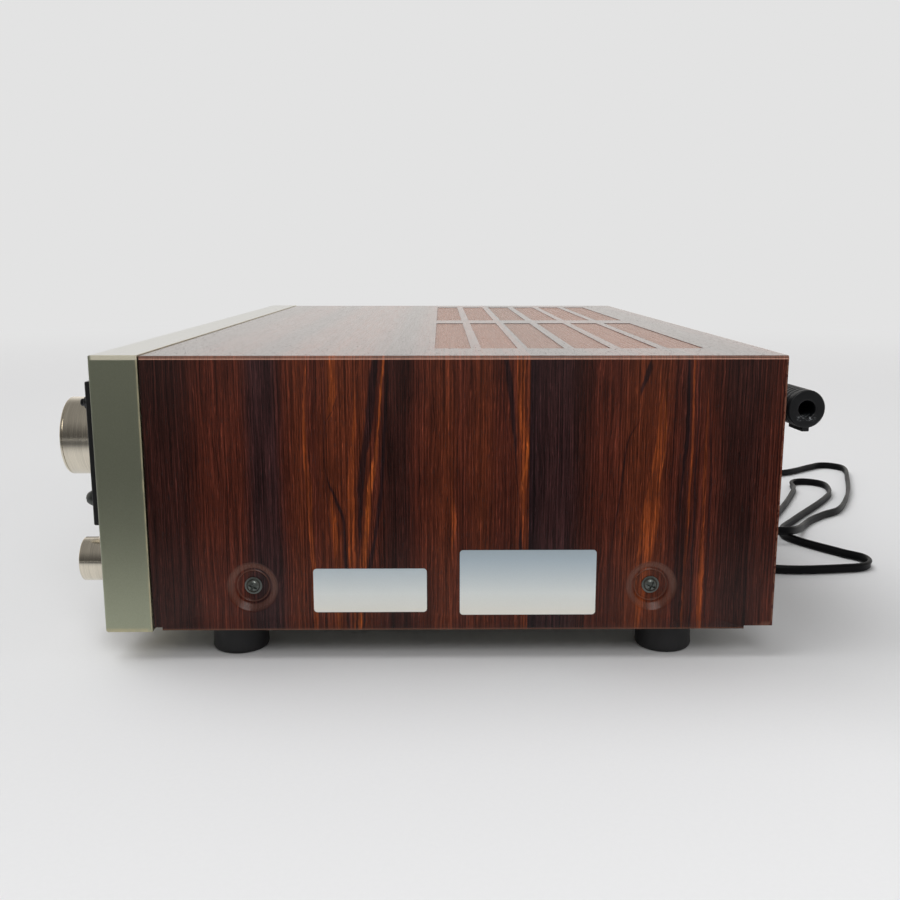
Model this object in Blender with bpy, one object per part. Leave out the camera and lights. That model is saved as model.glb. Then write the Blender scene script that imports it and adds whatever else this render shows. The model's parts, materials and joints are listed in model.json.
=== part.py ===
"""Stereo receiver of the late 1970s: wood-grain cover, silver front, black dial plate, rod antenna.

Metres, +Z up. The front faces -Y and the photographed side faces +X. The origin is at the centre of
the receiver's box, on the surface that it stands on, with the loose mains cord left out.
"""

import math

import bmesh
import bpy
from mathutils import Matrix, Vector

# Fits that every piece shares
GAP = 0.0003
OVERRUN = 0.001
RUNNING_GAP = 0.0006
SHARP_ANGLE = math.radians(35)

# Cabinet
COVER_WIDTH = 0.499
COVER_HEIGHT = 0.130
COVER_DEPTH = 0.2935
COVER_WALL = 0.0014
COVER_FOLD_RADIUS = 0.0025
FOLD_STEPS = 4
HEM_WIDTH = 0.004
HEM_THICKNESS = 0.0015
HEM_FRONT_NOTCH = 0.004
HEM_REAR_NOTCH = 0.0135

# Vent panels in the top of the cover
VENT_COUNT = 6
VENT_FROM_REAR = 0.1605
VENT_PITCH = 0.0228
VENT_WIDTH = 0.0178
VENT_SIDE_MARGIN = 0.038
VENT_MIDDLE_BAR = 0.034
VENT_RECESS = 0.0005
VENT_SLOTS = 3
VENT_SLOT_WIDTH = 0.0020
VENT_SLOT_END = 0.004

# Pressed dishes in the cover's sides, and their screws
DISH_RADIUS = 0.0123
DISH_FLAT_RADIUS = 0.0075
DISH_DEPTH = 0.003
DISH_HEIGHT = 0.0212
DISH_FRONT = 0.0473
DISH_FROM_REAR = 0.0583
DISH_STEPS = 24
SCREW_HEAD_RADIUS = 0.0034
SCREW_HEAD_HEIGHT = 0.0021
SCREW_SHANK_RADIUS = 0.0017
SCREW_LENGTH = 0.0075
SCREW_HOLE_RADIUS = 0.0022
RECESS_ARM_WIDTH = 0.0009
RECESS_ARM_LENGTH = 0.0036
RECESS_DEPTH = 0.0012

# Front panel
PANEL_OVERLAP = 0.0005
PANEL_DEPTH = 0.023
PANEL_WALL = 0.0025
PANEL_FACE = 0.003
PANEL_DROP = 0.0006
PANEL_RISE = 0.0004
PANEL_BEVEL = 0.0014
SEAM = 0.0006

# Black dial plate, its window and the glass
PLATE_SIDE_MARGIN = 0.004
PLATE_BOTTOM = 0.0505
PLATE_FROM_TOP = 0.012
PLATE_THICKNESS = 0.003
PLATE_BEVEL = 0.0004
WINDOW_MARGIN = 0.010
WINDOW_KNOB_SIDE = 0.096
GLASS_THICKNESS = 0.0024
GLASS_LIP = 0.003

# Feet
FOOT_HEIGHT = 0.015
FOOT_RADIUS = 0.0136
FOOT_TOP_RADIUS = 0.0128
FOOT_ROUND = 0.0025
FOOT_BORE = 0.006
FOOT_BORE_DEPTH = 0.005
FOOT_FROM_SIDE = 0.020
FOOT_FRONT = 0.037
FOOT_FROM_REAR = 0.0475
FOOT_STEPS = 20

# Chassis pan, sub-panel and rear panel
STEEL = 0.0012
PAN_SIDE_HEIGHT = 0.030
PAN_END_HEIGHT = 0.008
SUB_PANEL_SETBACK = 0.008
SUB_PANEL_SIDE_GAP = 0.008
SUB_PANEL_FROM_TOP = 0.006
REAR_INSET = 0.006
LID_CLEARANCE = 0.0006

# Tuning drive
TUNING_FROM_SIDE = 0.056
TUNING_KNOB_RADIUS = 0.0197
TUNING_KNOB_LENGTH = 0.025
KNOB_CLEARANCE = 0.001
KNOB_BEVEL = 0.0012
KNOB_DISH = 0.0010
KNOB_RIM = 0.0030
KNOB_STEPS = 32
ROUND_STEPS = 12
SHAFT_STEPS = 16
BORE_STEPS = 8
POST_STEPS = 10
TURNED_STEPS = 24
SHAFT_RADIUS = 0.003
SHAFT_CLEARANCE = 0.0012
KNOB_BORE_DEPTH = 0.016
STRING_PLANE = 0.0035
STRING_WIDTH = 0.004
STRING_GROOVE = 0.0008
SLEEVE_RADIUS = 0.006
FLYWHEEL_RADIUS = 0.018
FLYWHEEL_WIDTH = 0.008
FLYWHEEL_RIM = 0.004
FLYWHEEL_WEB = 0.003
DRUM_RADIUS = 0.025
DRUM_FROM_TUNING = 0.094
DRUM_BELOW_MIDDLE = 0.00425
DRUM_HOLES = 3
IDLER_RADIUS = 0.005
IDLER_STUD_RADIUS = 0.0015
GANG_WIDTH = 0.044
GANG_HEIGHT = 0.040
GANG_LENGTH = 0.046
GANG_SHAFT_DEPTH = 0.012
GANG_BAYS = 3

# Dial behind the glass
METER_WIDTH = 0.040
METER_GAP = 0.002
METER_MARGIN = 0.00075
METER_WALL = 0.0015
METER_RECESS = 0.006
METER_SETBACK = 0.005
NEEDLE_TOP_MARGIN = 0.0125
NEEDLE_WIDTH = 0.0008
NEEDLE_THICKNESS = 0.0006
NEEDLE_HUB_RADIUS = 0.0024
NEEDLE_PIN_RADIUS = 0.0012
NEEDLE_PIVOT_HEIGHT = 0.0075
NEEDLE_CLEARANCE = 0.0012
SCALE_THICKNESS = 0.0012
SCALE_SETBACK = 0.0075
SCALE_MARGIN = 0.0015
LAMP_DEPTH = 0.010
LAMP_WALL = 0.0015
LAMP_POST_RADIUS = 0.003
POINTER_WIDTH = 0.0016
POINTER_THICKNESS = 0.001
POINTER_SETBACK = 0.005
POINTER_FOOT = 0.0035
RAIL_SIZE = 0.003
RAIL_CLEARANCE = 0.0015
CARRIAGE_WIDTH = 0.010
CARRIAGE_WALL = 0.0012
RAIL_TAB = 0.006

# Lower row of controls
ROW_HEIGHT = 0.0247
SMALL_KNOB_RADIUS = 0.0110
SMALL_KNOB_LENGTH = 0.019
VOLUME_KNOB_RADIUS = 0.0155
VOLUME_KNOB_LENGTH = 0.021
SOURCE_FROM_SIDE = 0.036
SPEAKER_SHARE = -0.300
BASS_SHARE = -0.196
TREBLE_SHARE = -0.104
BALANCE_SHARE = -0.012
VOLUME_SHARE = 0.264
POWER_SHARE = -0.444
PHONES_SHARE = -0.376
BUTTON_SHARE = 0.080
BUTTON_PITCH_SHARE = 0.044
MARK_WIDTH = 0.0012
MARK_DEPTH = 0.0008
MARK_START_SHARE = 0.35
CONTROL_RADIUS = 0.0105
CONTROL_DEPTH = 0.012
CONTROL_BORE_DEPTH = 0.007
SWITCH_WIDTH = 0.030
SWITCH_HEIGHT = 0.024
SWITCH_DEPTH = 0.022
TONE_BOARD_HEIGHT = 0.034
TONE_BOARD_THICKNESS = 0.0016
TONE_BOARD_MARGIN = 0.006

# Push buttons and headphone socket
BUTTON_WIDTH = 0.013
BUTTON_HEIGHT = 0.008
BUTTON_REACH = 0.006
BUTTON_TRAVEL = 0.004
BUTTON_BEVEL = 0.0006
STEM_SIZE = 0.0045
BANK_DEPTH = 0.018
BANK_HEIGHT = 0.016
BANK_MARGIN = 0.006
POWER_RADIUS = 0.0075
POWER_REACH = 0.009
POWER_TRAVEL = 0.005
SOCKET_RADIUS = 0.0055
SOCKET_NUT_RADIUS = 0.0075
SOCKET_NUT_THICKNESS = 0.002
SOCKET_BORE = 0.0033
SOCKET_LENGTH = 0.024

# Pieces inside
CORE_WIDTH = 0.078
CORE_DEPTH = 0.046
CORE_HEIGHT = 0.066
COIL_PROUD = 0.013
COIL_HEIGHT_SHARE = 0.68
COIL_WIDTH_SHARE = 0.72
CORE_SHARE = -0.300
CORE_FRONT_SHARE = 0.54
SINK_WIDTH = 0.112
SINK_BASE = 0.004
SINK_FIN = 0.0024
SINK_FIN_LENGTH = 0.022
SINK_FINS = 11
SINK_HEIGHT = 0.058
SINK_SHARE = 0.020
SINK_FRONT_SHARE = 0.78
BOARD_WIDTH = 0.176
BOARD_DEPTH = 0.094
BOARD_THICKNESS = 0.0016
BOARD_POST = 0.008
BOARD_POST_RADIUS = 0.003
BOARD_SHARE = 0.030
BOARD_TO_SINK = 0.0175
CAPACITOR_RADIUS = 0.0165
CAPACITOR_HEIGHT = 0.046
CAPACITOR_PITCH = 0.040
CAPACITOR_STEPS = 20
POWER_PARTS = 4
POWER_PART_HEIGHT = 0.016
POWER_PART_WIDTH = 0.020
POWER_PART_DEPTH = 0.006

# Rear connectors
FLANGE = 0.0015
FLANGE_MARGIN = 0.004
JACK_WIDTH = 0.104
JACK_HEIGHT = 0.034
JACK_COLUMNS = 6
JACK_RADIUS = 0.0042
JACK_BORE = 0.0016
JACK_LENGTH = 0.008
JACK_SHARE = 0.230
JACK_Z = 0.030
SPEAKER_BLOCK_WIDTH = 0.082
SPEAKER_BLOCK_HEIGHT = 0.030
SPEAKER_BLOCK_SHARE = -0.060
SPEAKER_BLOCK_Z = 0.030
SPEAKER_KEYS = 8
SPEAKER_KEY_WIDTH = 0.006
SPEAKER_KEY_HEIGHT = 0.009
SPEAKER_KEY_REACH = 0.004
SPEAKER_HOLE = 0.0013
SPEAKER_HOLE_DEPTH = 0.005
AERIAL_BLOCK_WIDTH = 0.064
AERIAL_BLOCK_HEIGHT = 0.014
AERIAL_BLOCK_SHARE = 0.270
AERIAL_BLOCK_Z = 0.066
AERIAL_SCREWS = 4
AERIAL_SCREW_RADIUS = 0.0030
AERIAL_SCREW_REACH = 0.003
OUTLET_WIDTH = 0.036
OUTLET_HEIGHT = 0.026
OUTLET_SHARE = -0.310
OUTLET_Z = 0.062
OUTLET_SLOT_WIDTH = 0.0022
OUTLET_SLOT_HEIGHT = 0.0075
OUTLET_SLOT_PITCH = 0.0127
OUTLET_SLOT_DEPTH = 0.010
CONNECTOR_DEPTH = 0.012

# Rod antenna on its swivel
ANTENNA_NEAR_FROM_SIDE = 0.050
ANTENNA_LENGTH = 0.165
ANTENNA_RADIUS = 0.0092
ANTENNA_RIB_DEPTH = 0.0007
ANTENNA_RIB_PITCH = 0.0035
ANTENNA_STEPS = 12
ANTENNA_FROM_TOP = 0.032
ANTENNA_BORE = 0.0044
ANTENNA_BORE_DEPTH = 0.018
ANTENNA_REST_ANGLE = math.radians(5)
ANTENNA_PIVOT_REACH = 0.014
ANTENNA_COLLAR = 0.016
ANTENNA_TAB_WIDTH = 0.0040
ANTENNA_TAB_DROP = 0.0018
PIVOT_PIN_RADIUS = 0.0022
BRACKET_EAR = 0.0025
BRACKET_WIDTH = 0.014
BRACKET_FOOT = 0.0025
BRACKET_FOOT_WIDTH = 0.022

# Mains cord, its strain relief and plug
CORD_WIDTH = 0.0056
CORD_LOOPS = 3.0
CORD_SPACING = 0.0006
COIL_RADIUS = 0.036
COIL_POINTS = 24
CORD_SIDES = 2
COIL_SIDES = 1
ROUTE_STEPS = 2
RELIEF_LENGTH = 0.022
RELIEF_RADIUS = 0.0062
RELIEF_TIP_RADIUS = 0.0044
RELIEF_HEAD_RADIUS = 0.0085
RELIEF_HEAD = 0.0025
CORD_EXIT_SHARE = -0.430
CORD_EXIT_HEIGHT = 0.020
PLUG_WIDTH = 0.024
PLUG_THICKNESS = 0.017
PLUG_LENGTH = 0.022
PLUG_NECK = 0.010
PLUG_NECK_SHARE = 0.8
PLUG_BEVEL = 0.003
BLADE_LENGTH = 0.0165
BLADE_WIDTH = 0.0063
BLADE_THICKNESS = 0.0015
BLADE_SPACING = 0.0127

# Places that follow from the sizes above
HALF_COVER = COVER_WIDTH / 2
PANEL_WIDTH = COVER_WIDTH + PANEL_OVERLAP * 2
HALF_PANEL = PANEL_WIDTH / 2
COVER_BOTTOM = FOOT_HEIGHT
COVER_TOP = FOOT_HEIGHT + COVER_HEIGHT
PLATE_PROUD = GAP + PLATE_THICKNESS
FRONT_REACH = PANEL_DEPTH + PLATE_PROUD + KNOB_CLEARANCE + TUNING_KNOB_LENGTH
REAR_FACE_SETBACK = COVER_DEPTH - REAR_INSET
ANTENNA_PIVOT_SETBACK = COVER_DEPTH + ANTENNA_PIVOT_REACH
REAR_REACH = (ANTENNA_PIVOT_SETBACK + ANTENNA_LENGTH * math.sin(ANTENNA_REST_ANGLE)
              + ANTENNA_RADIUS * math.cos(ANTENNA_REST_ANGLE))
FRONT = (FRONT_REACH - REAR_REACH) / 2
REAR = FRONT + COVER_DEPTH
PANEL_FRONT = FRONT - PANEL_DEPTH
PANEL_BACK = PANEL_FRONT + PANEL_FACE
PLATE_BACK = PANEL_FRONT - GAP
PLATE_FRONT = PLATE_BACK - PLATE_THICKNESS
PLATE_LOW = COVER_BOTTOM + PLATE_BOTTOM
PLATE_HIGH = COVER_TOP - PLATE_FROM_TOP
PLATE_MIDDLE = (PLATE_LOW + PLATE_HIGH) / 2
HALF_PLATE = HALF_PANEL - PLATE_SIDE_MARGIN
WINDOW_LEFT = -HALF_PLATE + WINDOW_MARGIN
WINDOW_RIGHT = HALF_PLATE - WINDOW_KNOB_SIDE
WINDOW_LOW = PLATE_LOW + WINDOW_MARGIN
WINDOW_HIGH = PLATE_HIGH - WINDOW_MARGIN
OPENING_INSET = GAP + GLASS_LIP
PAN_BOTTOM = COVER_BOTTOM + HEM_THICKNESS + GAP
PAN_FLOOR = PAN_BOTTOM + STEEL
HALF_PAN = HALF_COVER - DISH_DEPTH - COVER_WALL - GAP
SUB_FRONT = FRONT + SUB_PANEL_SETBACK
SUB_BACK = SUB_FRONT + STEEL
PAN_FRONT = SUB_FRONT - GAP - STEEL
REAR_OUTER = FRONT + REAR_FACE_SETBACK
REAR_INNER = REAR_OUTER - STEEL
PAN_REAR = REAR_INNER - GAP
LID_INSIDE = COVER_TOP - COVER_WALL - LID_CLEARANCE
ROW_Z = COVER_BOTTOM + ROW_HEIGHT
TUNING_X = HALF_COVER - TUNING_FROM_SIDE
DRUM_X = TUNING_X - DRUM_FROM_TUNING
DRUM_Z = PLATE_MIDDLE - DRUM_BELOW_MIDDLE
STRING_Y = FRONT + STRING_PLANE
METER_FRONT = PANEL_FRONT + METER_SETBACK
METER_BACK = SUB_FRONT - GAP
METER_LEFT = WINDOW_LEFT + OPENING_INSET
SECOND_METER_LEFT = METER_LEFT + METER_WIDTH + METER_GAP
METER_HEIGHT = WINDOW_HIGH - WINDOW_LOW - METER_MARGIN * 2
METER_Z = WINDOW_LOW + METER_MARGIN
NEEDLE_LENGTH = METER_HEIGHT - NEEDLE_PIVOT_HEIGHT - NEEDLE_TOP_MARGIN
SIGNAL_REST_ANGLE = math.atan2(METER_WIDTH / 2 - METER_WALL, NEEDLE_LENGTH)
LAMP_LEFT = SECOND_METER_LEFT + METER_WIDTH + CARRIAGE_WIDTH
LAMP_RIGHT = WINDOW_RIGHT - OPENING_INSET
LAMP_LOW = WINDOW_LOW - METER_GAP
LAMP_HIGH = WINDOW_HIGH + METER_GAP
SCALE_FRONT = PANEL_FRONT + SCALE_SETBACK
LAMP_FRONT = SCALE_FRONT + SCALE_THICKNESS + GAP
LAMP_BACK = LAMP_FRONT + LAMP_DEPTH
POINTER_FRONT = PANEL_FRONT + POINTER_SETBACK
POINTER_X = (LAMP_LEFT + LAMP_RIGHT) / 2
RAIL_LOW = LAMP_HIGH + RAIL_CLEARANCE
RAIL_HIGH = RAIL_LOW + RAIL_SIZE
RAIL_FRONT = LAMP_BACK
RAIL_BACK = RAIL_FRONT + RAIL_SIZE
IDLER_Z = RAIL_HIGH - RAIL_SIZE / 2
IDLER_LEFT_X = LAMP_LEFT - IDLER_RADIUS - RAIL_TAB
IDLER_RIGHT_X = LAMP_RIGHT + IDLER_RADIUS + RAIL_TAB
SOURCE_X = HALF_COVER - SOURCE_FROM_SIDE
CORD_CLEAR = CORD_WIDTH + CORD_SPACING
CORD_RADIUS = CORD_WIDTH / 2


def material(name, color, roughness, metallic=0.0):
    """A plain Principled material."""
    mat = bpy.data.materials.new(name)
    mat.use_nodes = True
    shader = mat.node_tree.nodes["Principled BSDF"]
    shader.inputs["Base Color"].default_value = (*color, 1.0)
    shader.inputs["Roughness"].default_value = roughness
    shader.inputs["Metallic"].default_value = metallic
    mat.diffuse_color = (*color, 1.0)
    return mat


def finish(name, mesh_data, mat, origin=(0.0, 0.0, 0.0), smooth=False):
    """Turns a bmesh in world coordinates into an object whose origin is at the given point."""
    bmesh.ops.recalc_face_normals(mesh_data, faces=mesh_data.faces)
    mesh = bpy.data.meshes.new(name)
    mesh_data.to_mesh(mesh)
    mesh_data.free()
    mesh.transform(Matrix.Translation(-Vector(origin)))
    if smooth:
        mesh.shade_smooth()
        mesh.set_sharp_from_angle(angle=SHARP_ANGLE)
    mesh.materials.append(mat)
    obj = bpy.data.objects.new(name, mesh)
    obj.location = origin
    bpy.context.collection.objects.link(obj)
    return obj


def tool(name, mesh_data):
    """A hidden solid that a Boolean modifier uses."""
    obj = finish(name, mesh_data, CUTTER)
    obj.hide_render = True
    obj.display_type = "WIRE"
    return obj


def modify(target, other, operation):
    """Adds an exact Boolean modifier to the target."""
    boolean = target.modifiers.new(other.name, "BOOLEAN")
    boolean.operation = operation
    boolean.solver = "EXACT"
    boolean.object = other


def cut(target, name, mesh_data):
    """Cuts a solid out of the target."""
    modify(target, tool(name, mesh_data), "DIFFERENCE")


def unite(target, name, mesh_data):
    """Joins a solid to the target."""
    modify(target, tool(name, mesh_data), "UNION")


def box(low, high, into=None):
    """A box between two corners."""
    shape = into or bmesh.new()
    corners = []
    for z in (low[2], high[2]):
        for x, y in ((low[0], low[1]), (high[0], low[1]), (high[0], high[1]), (low[0], high[1])):
            corners.append(shape.verts.new((x, y, z)))
    for face in ((0, 1, 2, 3), (4, 5, 6, 7), (0, 1, 5, 4), (1, 2, 6, 5), (2, 3, 7, 6), (3, 0, 4, 7)):
        shape.faces.new([corners[index] for index in face])
    return shape


def turned(profile, centre, axis, steps, into=None, closed=False):
    """A solid turned round an axis through a centre, from points of (radius, distance along the axis).

    The first vertex of each ring lies square to the axis and level with the centre, or above it.
    """
    shape = into or bmesh.new()
    along = Vector(axis).normalized()
    side = along.cross(Vector((0.0, 0.0, 1.0)))
    if side.length < 0.5:
        side = Vector((1.0, 0.0, 0.0))
    side.normalize()
    up = side.cross(along)
    rings = []
    for radius, distance in profile:
        ring = []
        for step in range(steps):
            angle = math.tau * step / steps
            offset = side * math.cos(angle) + up * math.sin(angle)
            ring.append(shape.verts.new(Vector(centre) + along * distance + offset * radius))
        rings.append(ring)
    pairs = list(zip(rings, rings[1:]))
    if closed:
        pairs.append((rings[-1], rings[0]))
    else:
        shape.faces.new(rings[0])
        shape.faces.new(rings[-1])
    for lower, upper in pairs:
        for step in range(steps):
            after = (step + 1) % steps
            shape.faces.new((lower[step], lower[after], upper[after], upper[step]))
    return shape


def prism(outline, place, low, high, into=None):
    """A flat outline pushed along an axis; place(u, v, w) gives the point at outline (u, v), height w."""
    shape = into or bmesh.new()
    bottom = [shape.verts.new(place(u, v, low)) for u, v in outline]
    top = [shape.verts.new(place(u, v, high)) for u, v in outline]
    shape.faces.new(bottom)
    shape.faces.new(top)
    count = len(outline)
    for index in range(count):
        after = (index + 1) % count
        shape.faces.new((bottom[index], bottom[after], top[after], top[index]))
    return shape


def arc(centre, radius, start, end, steps):
    """Points of an arc in the outline's plane, angles in degrees."""
    points = []
    for step in range(steps + 1):
        angle = math.radians(start + (end - start) * step / steps)
        points.append((centre[0] + radius * math.cos(angle), centre[1] + radius * math.sin(angle)))
    return points


def bevel_ring(shape, test, width, segments=1):
    """Breaks only the edges whose two ends pass the test."""
    edges = [edge for edge in shape.edges if all(test(vert.co) for vert in edge.verts)]
    bmesh.ops.bevel(shape, geom=edges, offset=width, segments=segments, affect="EDGES", profile=0.5)


CUTTER = material("cutter", (0.5, 0.5, 0.5), 0.5)
WOOD = material("rosewood_vinyl", (0.115, 0.028, 0.014), 0.32)
SILVER = material("front_aluminium", (0.42, 0.42, 0.36), 0.38, 0.85)
BLACK = material("black_plate", (0.012, 0.012, 0.013), 0.35)
TURNED = material("turned_aluminium", (0.72, 0.69, 0.62), 0.25, 1.0)
GLASS = material("dial_glass", (0.10, 0.11, 0.12), 0.05)
RUBBER = material("black_rubber", (0.018, 0.018, 0.020), 0.6)
ZINC = material("zinc_steel", (0.55, 0.55, 0.52), 0.4, 0.9)
REAR_PAINT = material("rear_paint", (0.05, 0.05, 0.052), 0.55)
WHITE = material("scale_white", (0.80, 0.82, 0.76), 0.5)
RED = material("pointer_red", (0.70, 0.05, 0.02), 0.4)
BRASS = material("brass", (0.62, 0.45, 0.20), 0.35, 1.0)
PLASTIC = material("black_plastic", (0.02, 0.02, 0.022), 0.45)
BOARD = material("board", (0.20, 0.13, 0.05), 0.5)
BLUE = material("capacitor_sleeve", (0.03, 0.05, 0.16), 0.35)
CORD = material("cord_jacket", (0.013, 0.013, 0.014), 0.42)
SCREW = material("black_screw", (0.03, 0.03, 0.032), 0.35, 0.8)


def along_y(u, v, w):
    """An outline in X and Z, pushed along Y."""
    return (u, w, v)


def across_x(u, v, w):
    """An outline in Y and Z, pushed along X."""
    return (w, u, v)


def along_z(u, v, w):
    """An outline in X and Y, pushed along Z."""
    return (u, v, w)


# Cabinet

def cover_outline():
    """Section of the cover, seen from the front: two sides, the top and the small bottom hems."""
    fold = COVER_FOLD_RADIUS
    inside = fold - COVER_WALL
    inner = HALF_COVER - COVER_WALL
    right = [(HALF_COVER - HEM_WIDTH, COVER_BOTTOM + HEM_THICKNESS), (HALF_COVER - HEM_WIDTH, COVER_BOTTOM),
             (HALF_COVER, COVER_BOTTOM)]
    right += arc((HALF_COVER - fold, COVER_TOP - fold), fold, 0, 90, FOLD_STEPS)
    left_inner = arc((-inner + inside, COVER_TOP - COVER_WALL - inside), inside, 90, 180, FOLD_STEPS)
    left = [(-x, z) for x, z in reversed(right)]
    right_inner = [(-x, z) for x, z in reversed(left_inner)]
    outline = right + left
    outline += [(-inner, COVER_BOTTOM + HEM_THICKNESS)] + list(reversed(left_inner))
    outline += list(reversed(right_inner)) + [(inner, COVER_BOTTOM + HEM_THICKNESS)]
    return outline


def side_places():
    """Side (+1 or -1), Y and name of each pressed dish."""
    for side, side_name in ((1, "right"), (-1, "left")):
        for y, end_name in ((FRONT + DISH_FRONT, "front"), (REAR - DISH_FROM_REAR, "rear")):
            yield side, y, end_name + "_" + side_name


def vent_rows():
    """The two rows of vents, as their lowest and highest X."""
    outer = HALF_COVER - VENT_SIDE_MARGIN
    inner = VENT_MIDDLE_BAR / 2
    return ((-outer, -inner), (inner, outer))


def make_cover():
    """The wood-grain steel cover, with dishes pressed in for its screws and vents in the top."""
    cover = finish("top_cover", prism(cover_outline(), along_y, FRONT, REAR), WOOD)
    dishes = bmesh.new()
    hollows = bmesh.new()
    for side, y, _ in side_places():
        centre = (side * HALF_COVER, y, COVER_BOTTOM + DISH_HEIGHT)
        inward = (-side, 0.0, 0.0)
        turned([(DISH_RADIUS + COVER_WALL, COVER_WALL / 2), (DISH_RADIUS + COVER_WALL / 2, COVER_WALL),
                (DISH_FLAT_RADIUS + COVER_WALL / 2, DISH_DEPTH + COVER_WALL)], centre, inward,
               DISH_STEPS, dishes)
        turned([(DISH_RADIUS, -OVERRUN), (DISH_RADIUS, 0.0), (DISH_FLAT_RADIUS, DISH_DEPTH),
                (SCREW_HOLE_RADIUS, DISH_DEPTH), (SCREW_HOLE_RADIUS, DISH_DEPTH + COVER_WALL + OVERRUN)],
               centre, inward, DISH_STEPS, hollows)
    unite(cover, "dish_backs", dishes)
    cut(cover, "dish_hollows", hollows)
    notches = bmesh.new()
    low = COVER_BOTTOM - OVERRUN
    high = COVER_BOTTOM + HEM_THICKNESS
    wide = HALF_COVER + OVERRUN
    box((-wide, FRONT - OVERRUN, low), (wide, FRONT + HEM_FRONT_NOTCH, high), notches)
    box((-wide, REAR - HEM_REAR_NOTCH, low), (wide, REAR + OVERRUN, high), notches)
    cut(cover, "hem_notches", notches)
    make_vents(cover)
    return cover


def make_vents(cover):
    """Twelve shallow recesses, each with a few long slots right through."""
    recesses = bmesh.new()
    slots = bmesh.new()
    for left, right in vent_rows():
        for index in range(VENT_COUNT):
            y = REAR - VENT_FROM_REAR + VENT_PITCH * index
            box((left, y, COVER_TOP - VENT_RECESS), (right, y + VENT_WIDTH, COVER_TOP + OVERRUN), recesses)
            for slot in range(VENT_SLOTS):
                middle = y + VENT_WIDTH * (slot + 0.5) / VENT_SLOTS
                box((left + VENT_SLOT_END, middle - VENT_SLOT_WIDTH / 2, COVER_TOP - COVER_WALL - OVERRUN),
                    (right - VENT_SLOT_END, middle + VENT_SLOT_WIDTH / 2, COVER_TOP + OVERRUN), slots)
    cut(cover, "vent_recesses", recesses)
    cut(cover, "vent_slots", slots)


def make_cover_screws():
    """Pan-head screws with a cross recess, seated in the dishes and reaching into the chassis pan."""
    for side, y, name in side_places():
        x = side * (HALF_COVER - DISH_DEPTH + GAP)
        centre = (x, y, COVER_BOTTOM + DISH_HEIGHT)
        head = SCREW_HEAD_HEIGHT
        profile = [(SCREW_SHANK_RADIUS, -SCREW_LENGTH), (SCREW_SHANK_RADIUS, 0.0), (SCREW_HEAD_RADIUS, 0.0),
                   (SCREW_HEAD_RADIUS, head / 2), (SCREW_HEAD_RADIUS - head / 4, head - head / 8),
                   (SCREW_HEAD_RADIUS / 2, head)]
        shape = turned(profile, centre, (side, 0.0, 0.0), ROUND_STEPS)
        screw = finish("cover_screw_" + name, shape, SCREW, centre, smooth=True)
        arm = RECESS_ARM_WIDTH / 2
        reach = RECESS_ARM_LENGTH / 2
        cross = [(arm, reach), (-arm, reach), (-arm, arm), (-reach, arm), (-reach, -arm), (-arm, -arm),
                 (-arm, -reach), (arm, -reach), (arm, -arm), (reach, -arm), (reach, arm), (arm, arm)]
        ends = sorted((x + side * (head - RECESS_DEPTH), x + side * (head + OVERRUN)))
        shape = prism(cross, across_x, *ends)
        shape.transform(Matrix.Translation((0.0, y, centre[2])))
        cut(screw, "cross_" + name, shape)


def make_feet():
    """Four turned rubber feet under the chassis pan, each with its screw well underneath."""
    top = PAN_BOTTOM - GAP
    for side, side_name in ((1, "right"), (-1, "left")):
        for y, end_name in ((FRONT + FOOT_FRONT, "front"), (REAR - FOOT_FROM_REAR, "rear")):
            centre = (side * (HALF_COVER - FOOT_FROM_SIDE), y, 0.0)
            rounding = [(FOOT_RADIUS - FOOT_ROUND + FOOT_ROUND * math.sin(angle),
                         FOOT_ROUND - FOOT_ROUND * math.cos(angle))
                        for angle in (0.0, math.radians(40), math.radians(90))]
            profile = [(FOOT_BORE, FOOT_BORE_DEPTH), (FOOT_BORE, 0.0)] + rounding
            profile += [(FOOT_TOP_RADIUS, top)]
            shape = turned(profile, centre, (0.0, 0.0, 1.0), FOOT_STEPS)
            finish("foot_" + end_name + "_" + side_name, shape, RUBBER, centre, smooth=True)


def make_pan():
    """The chassis pan, a steel tray: tall at the sides, low at the front and rear."""
    pan = finish("chassis_pan", box((-HALF_PAN, PAN_FRONT, PAN_BOTTOM),
                                    (HALF_PAN, PAN_REAR, PAN_BOTTOM + PAN_SIDE_HEIGHT)), ZINC)
    cut(pan, "pan_hollow", box((-HALF_PAN + STEEL, PAN_FRONT + STEEL, PAN_FLOOR),
                               (HALF_PAN - STEEL, PAN_REAR - STEEL, PAN_BOTTOM + PAN_SIDE_HEIGHT + OVERRUN)))
    cut(pan, "pan_ends", box((-HALF_PAN + STEEL, PAN_FRONT - OVERRUN, PAN_BOTTOM + PAN_END_HEIGHT),
                             (HALF_PAN - STEEL, PAN_REAR + OVERRUN, COVER_TOP)))
    holes = bmesh.new()
    for side, y, _ in side_places():
        centre = (side * HALF_PAN, y, COVER_BOTTOM + DISH_HEIGHT)
        radius = SCREW_SHANK_RADIUS + GAP
        turned([(radius, -OVERRUN), (radius, STEEL + OVERRUN)], centre, (-side, 0.0, 0.0),
               ROUND_STEPS, holes)
    cut(pan, "pan_screw_holes", holes)


def hole(radius, centre, low, high, into, steps=ROUND_STEPS):
    """A round cutter along Y between two depths."""
    turned([(radius, 0.0), (radius, high - low)], (centre[0], low, centre[1]), (0.0, 1.0, 0.0), steps, into)


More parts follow.
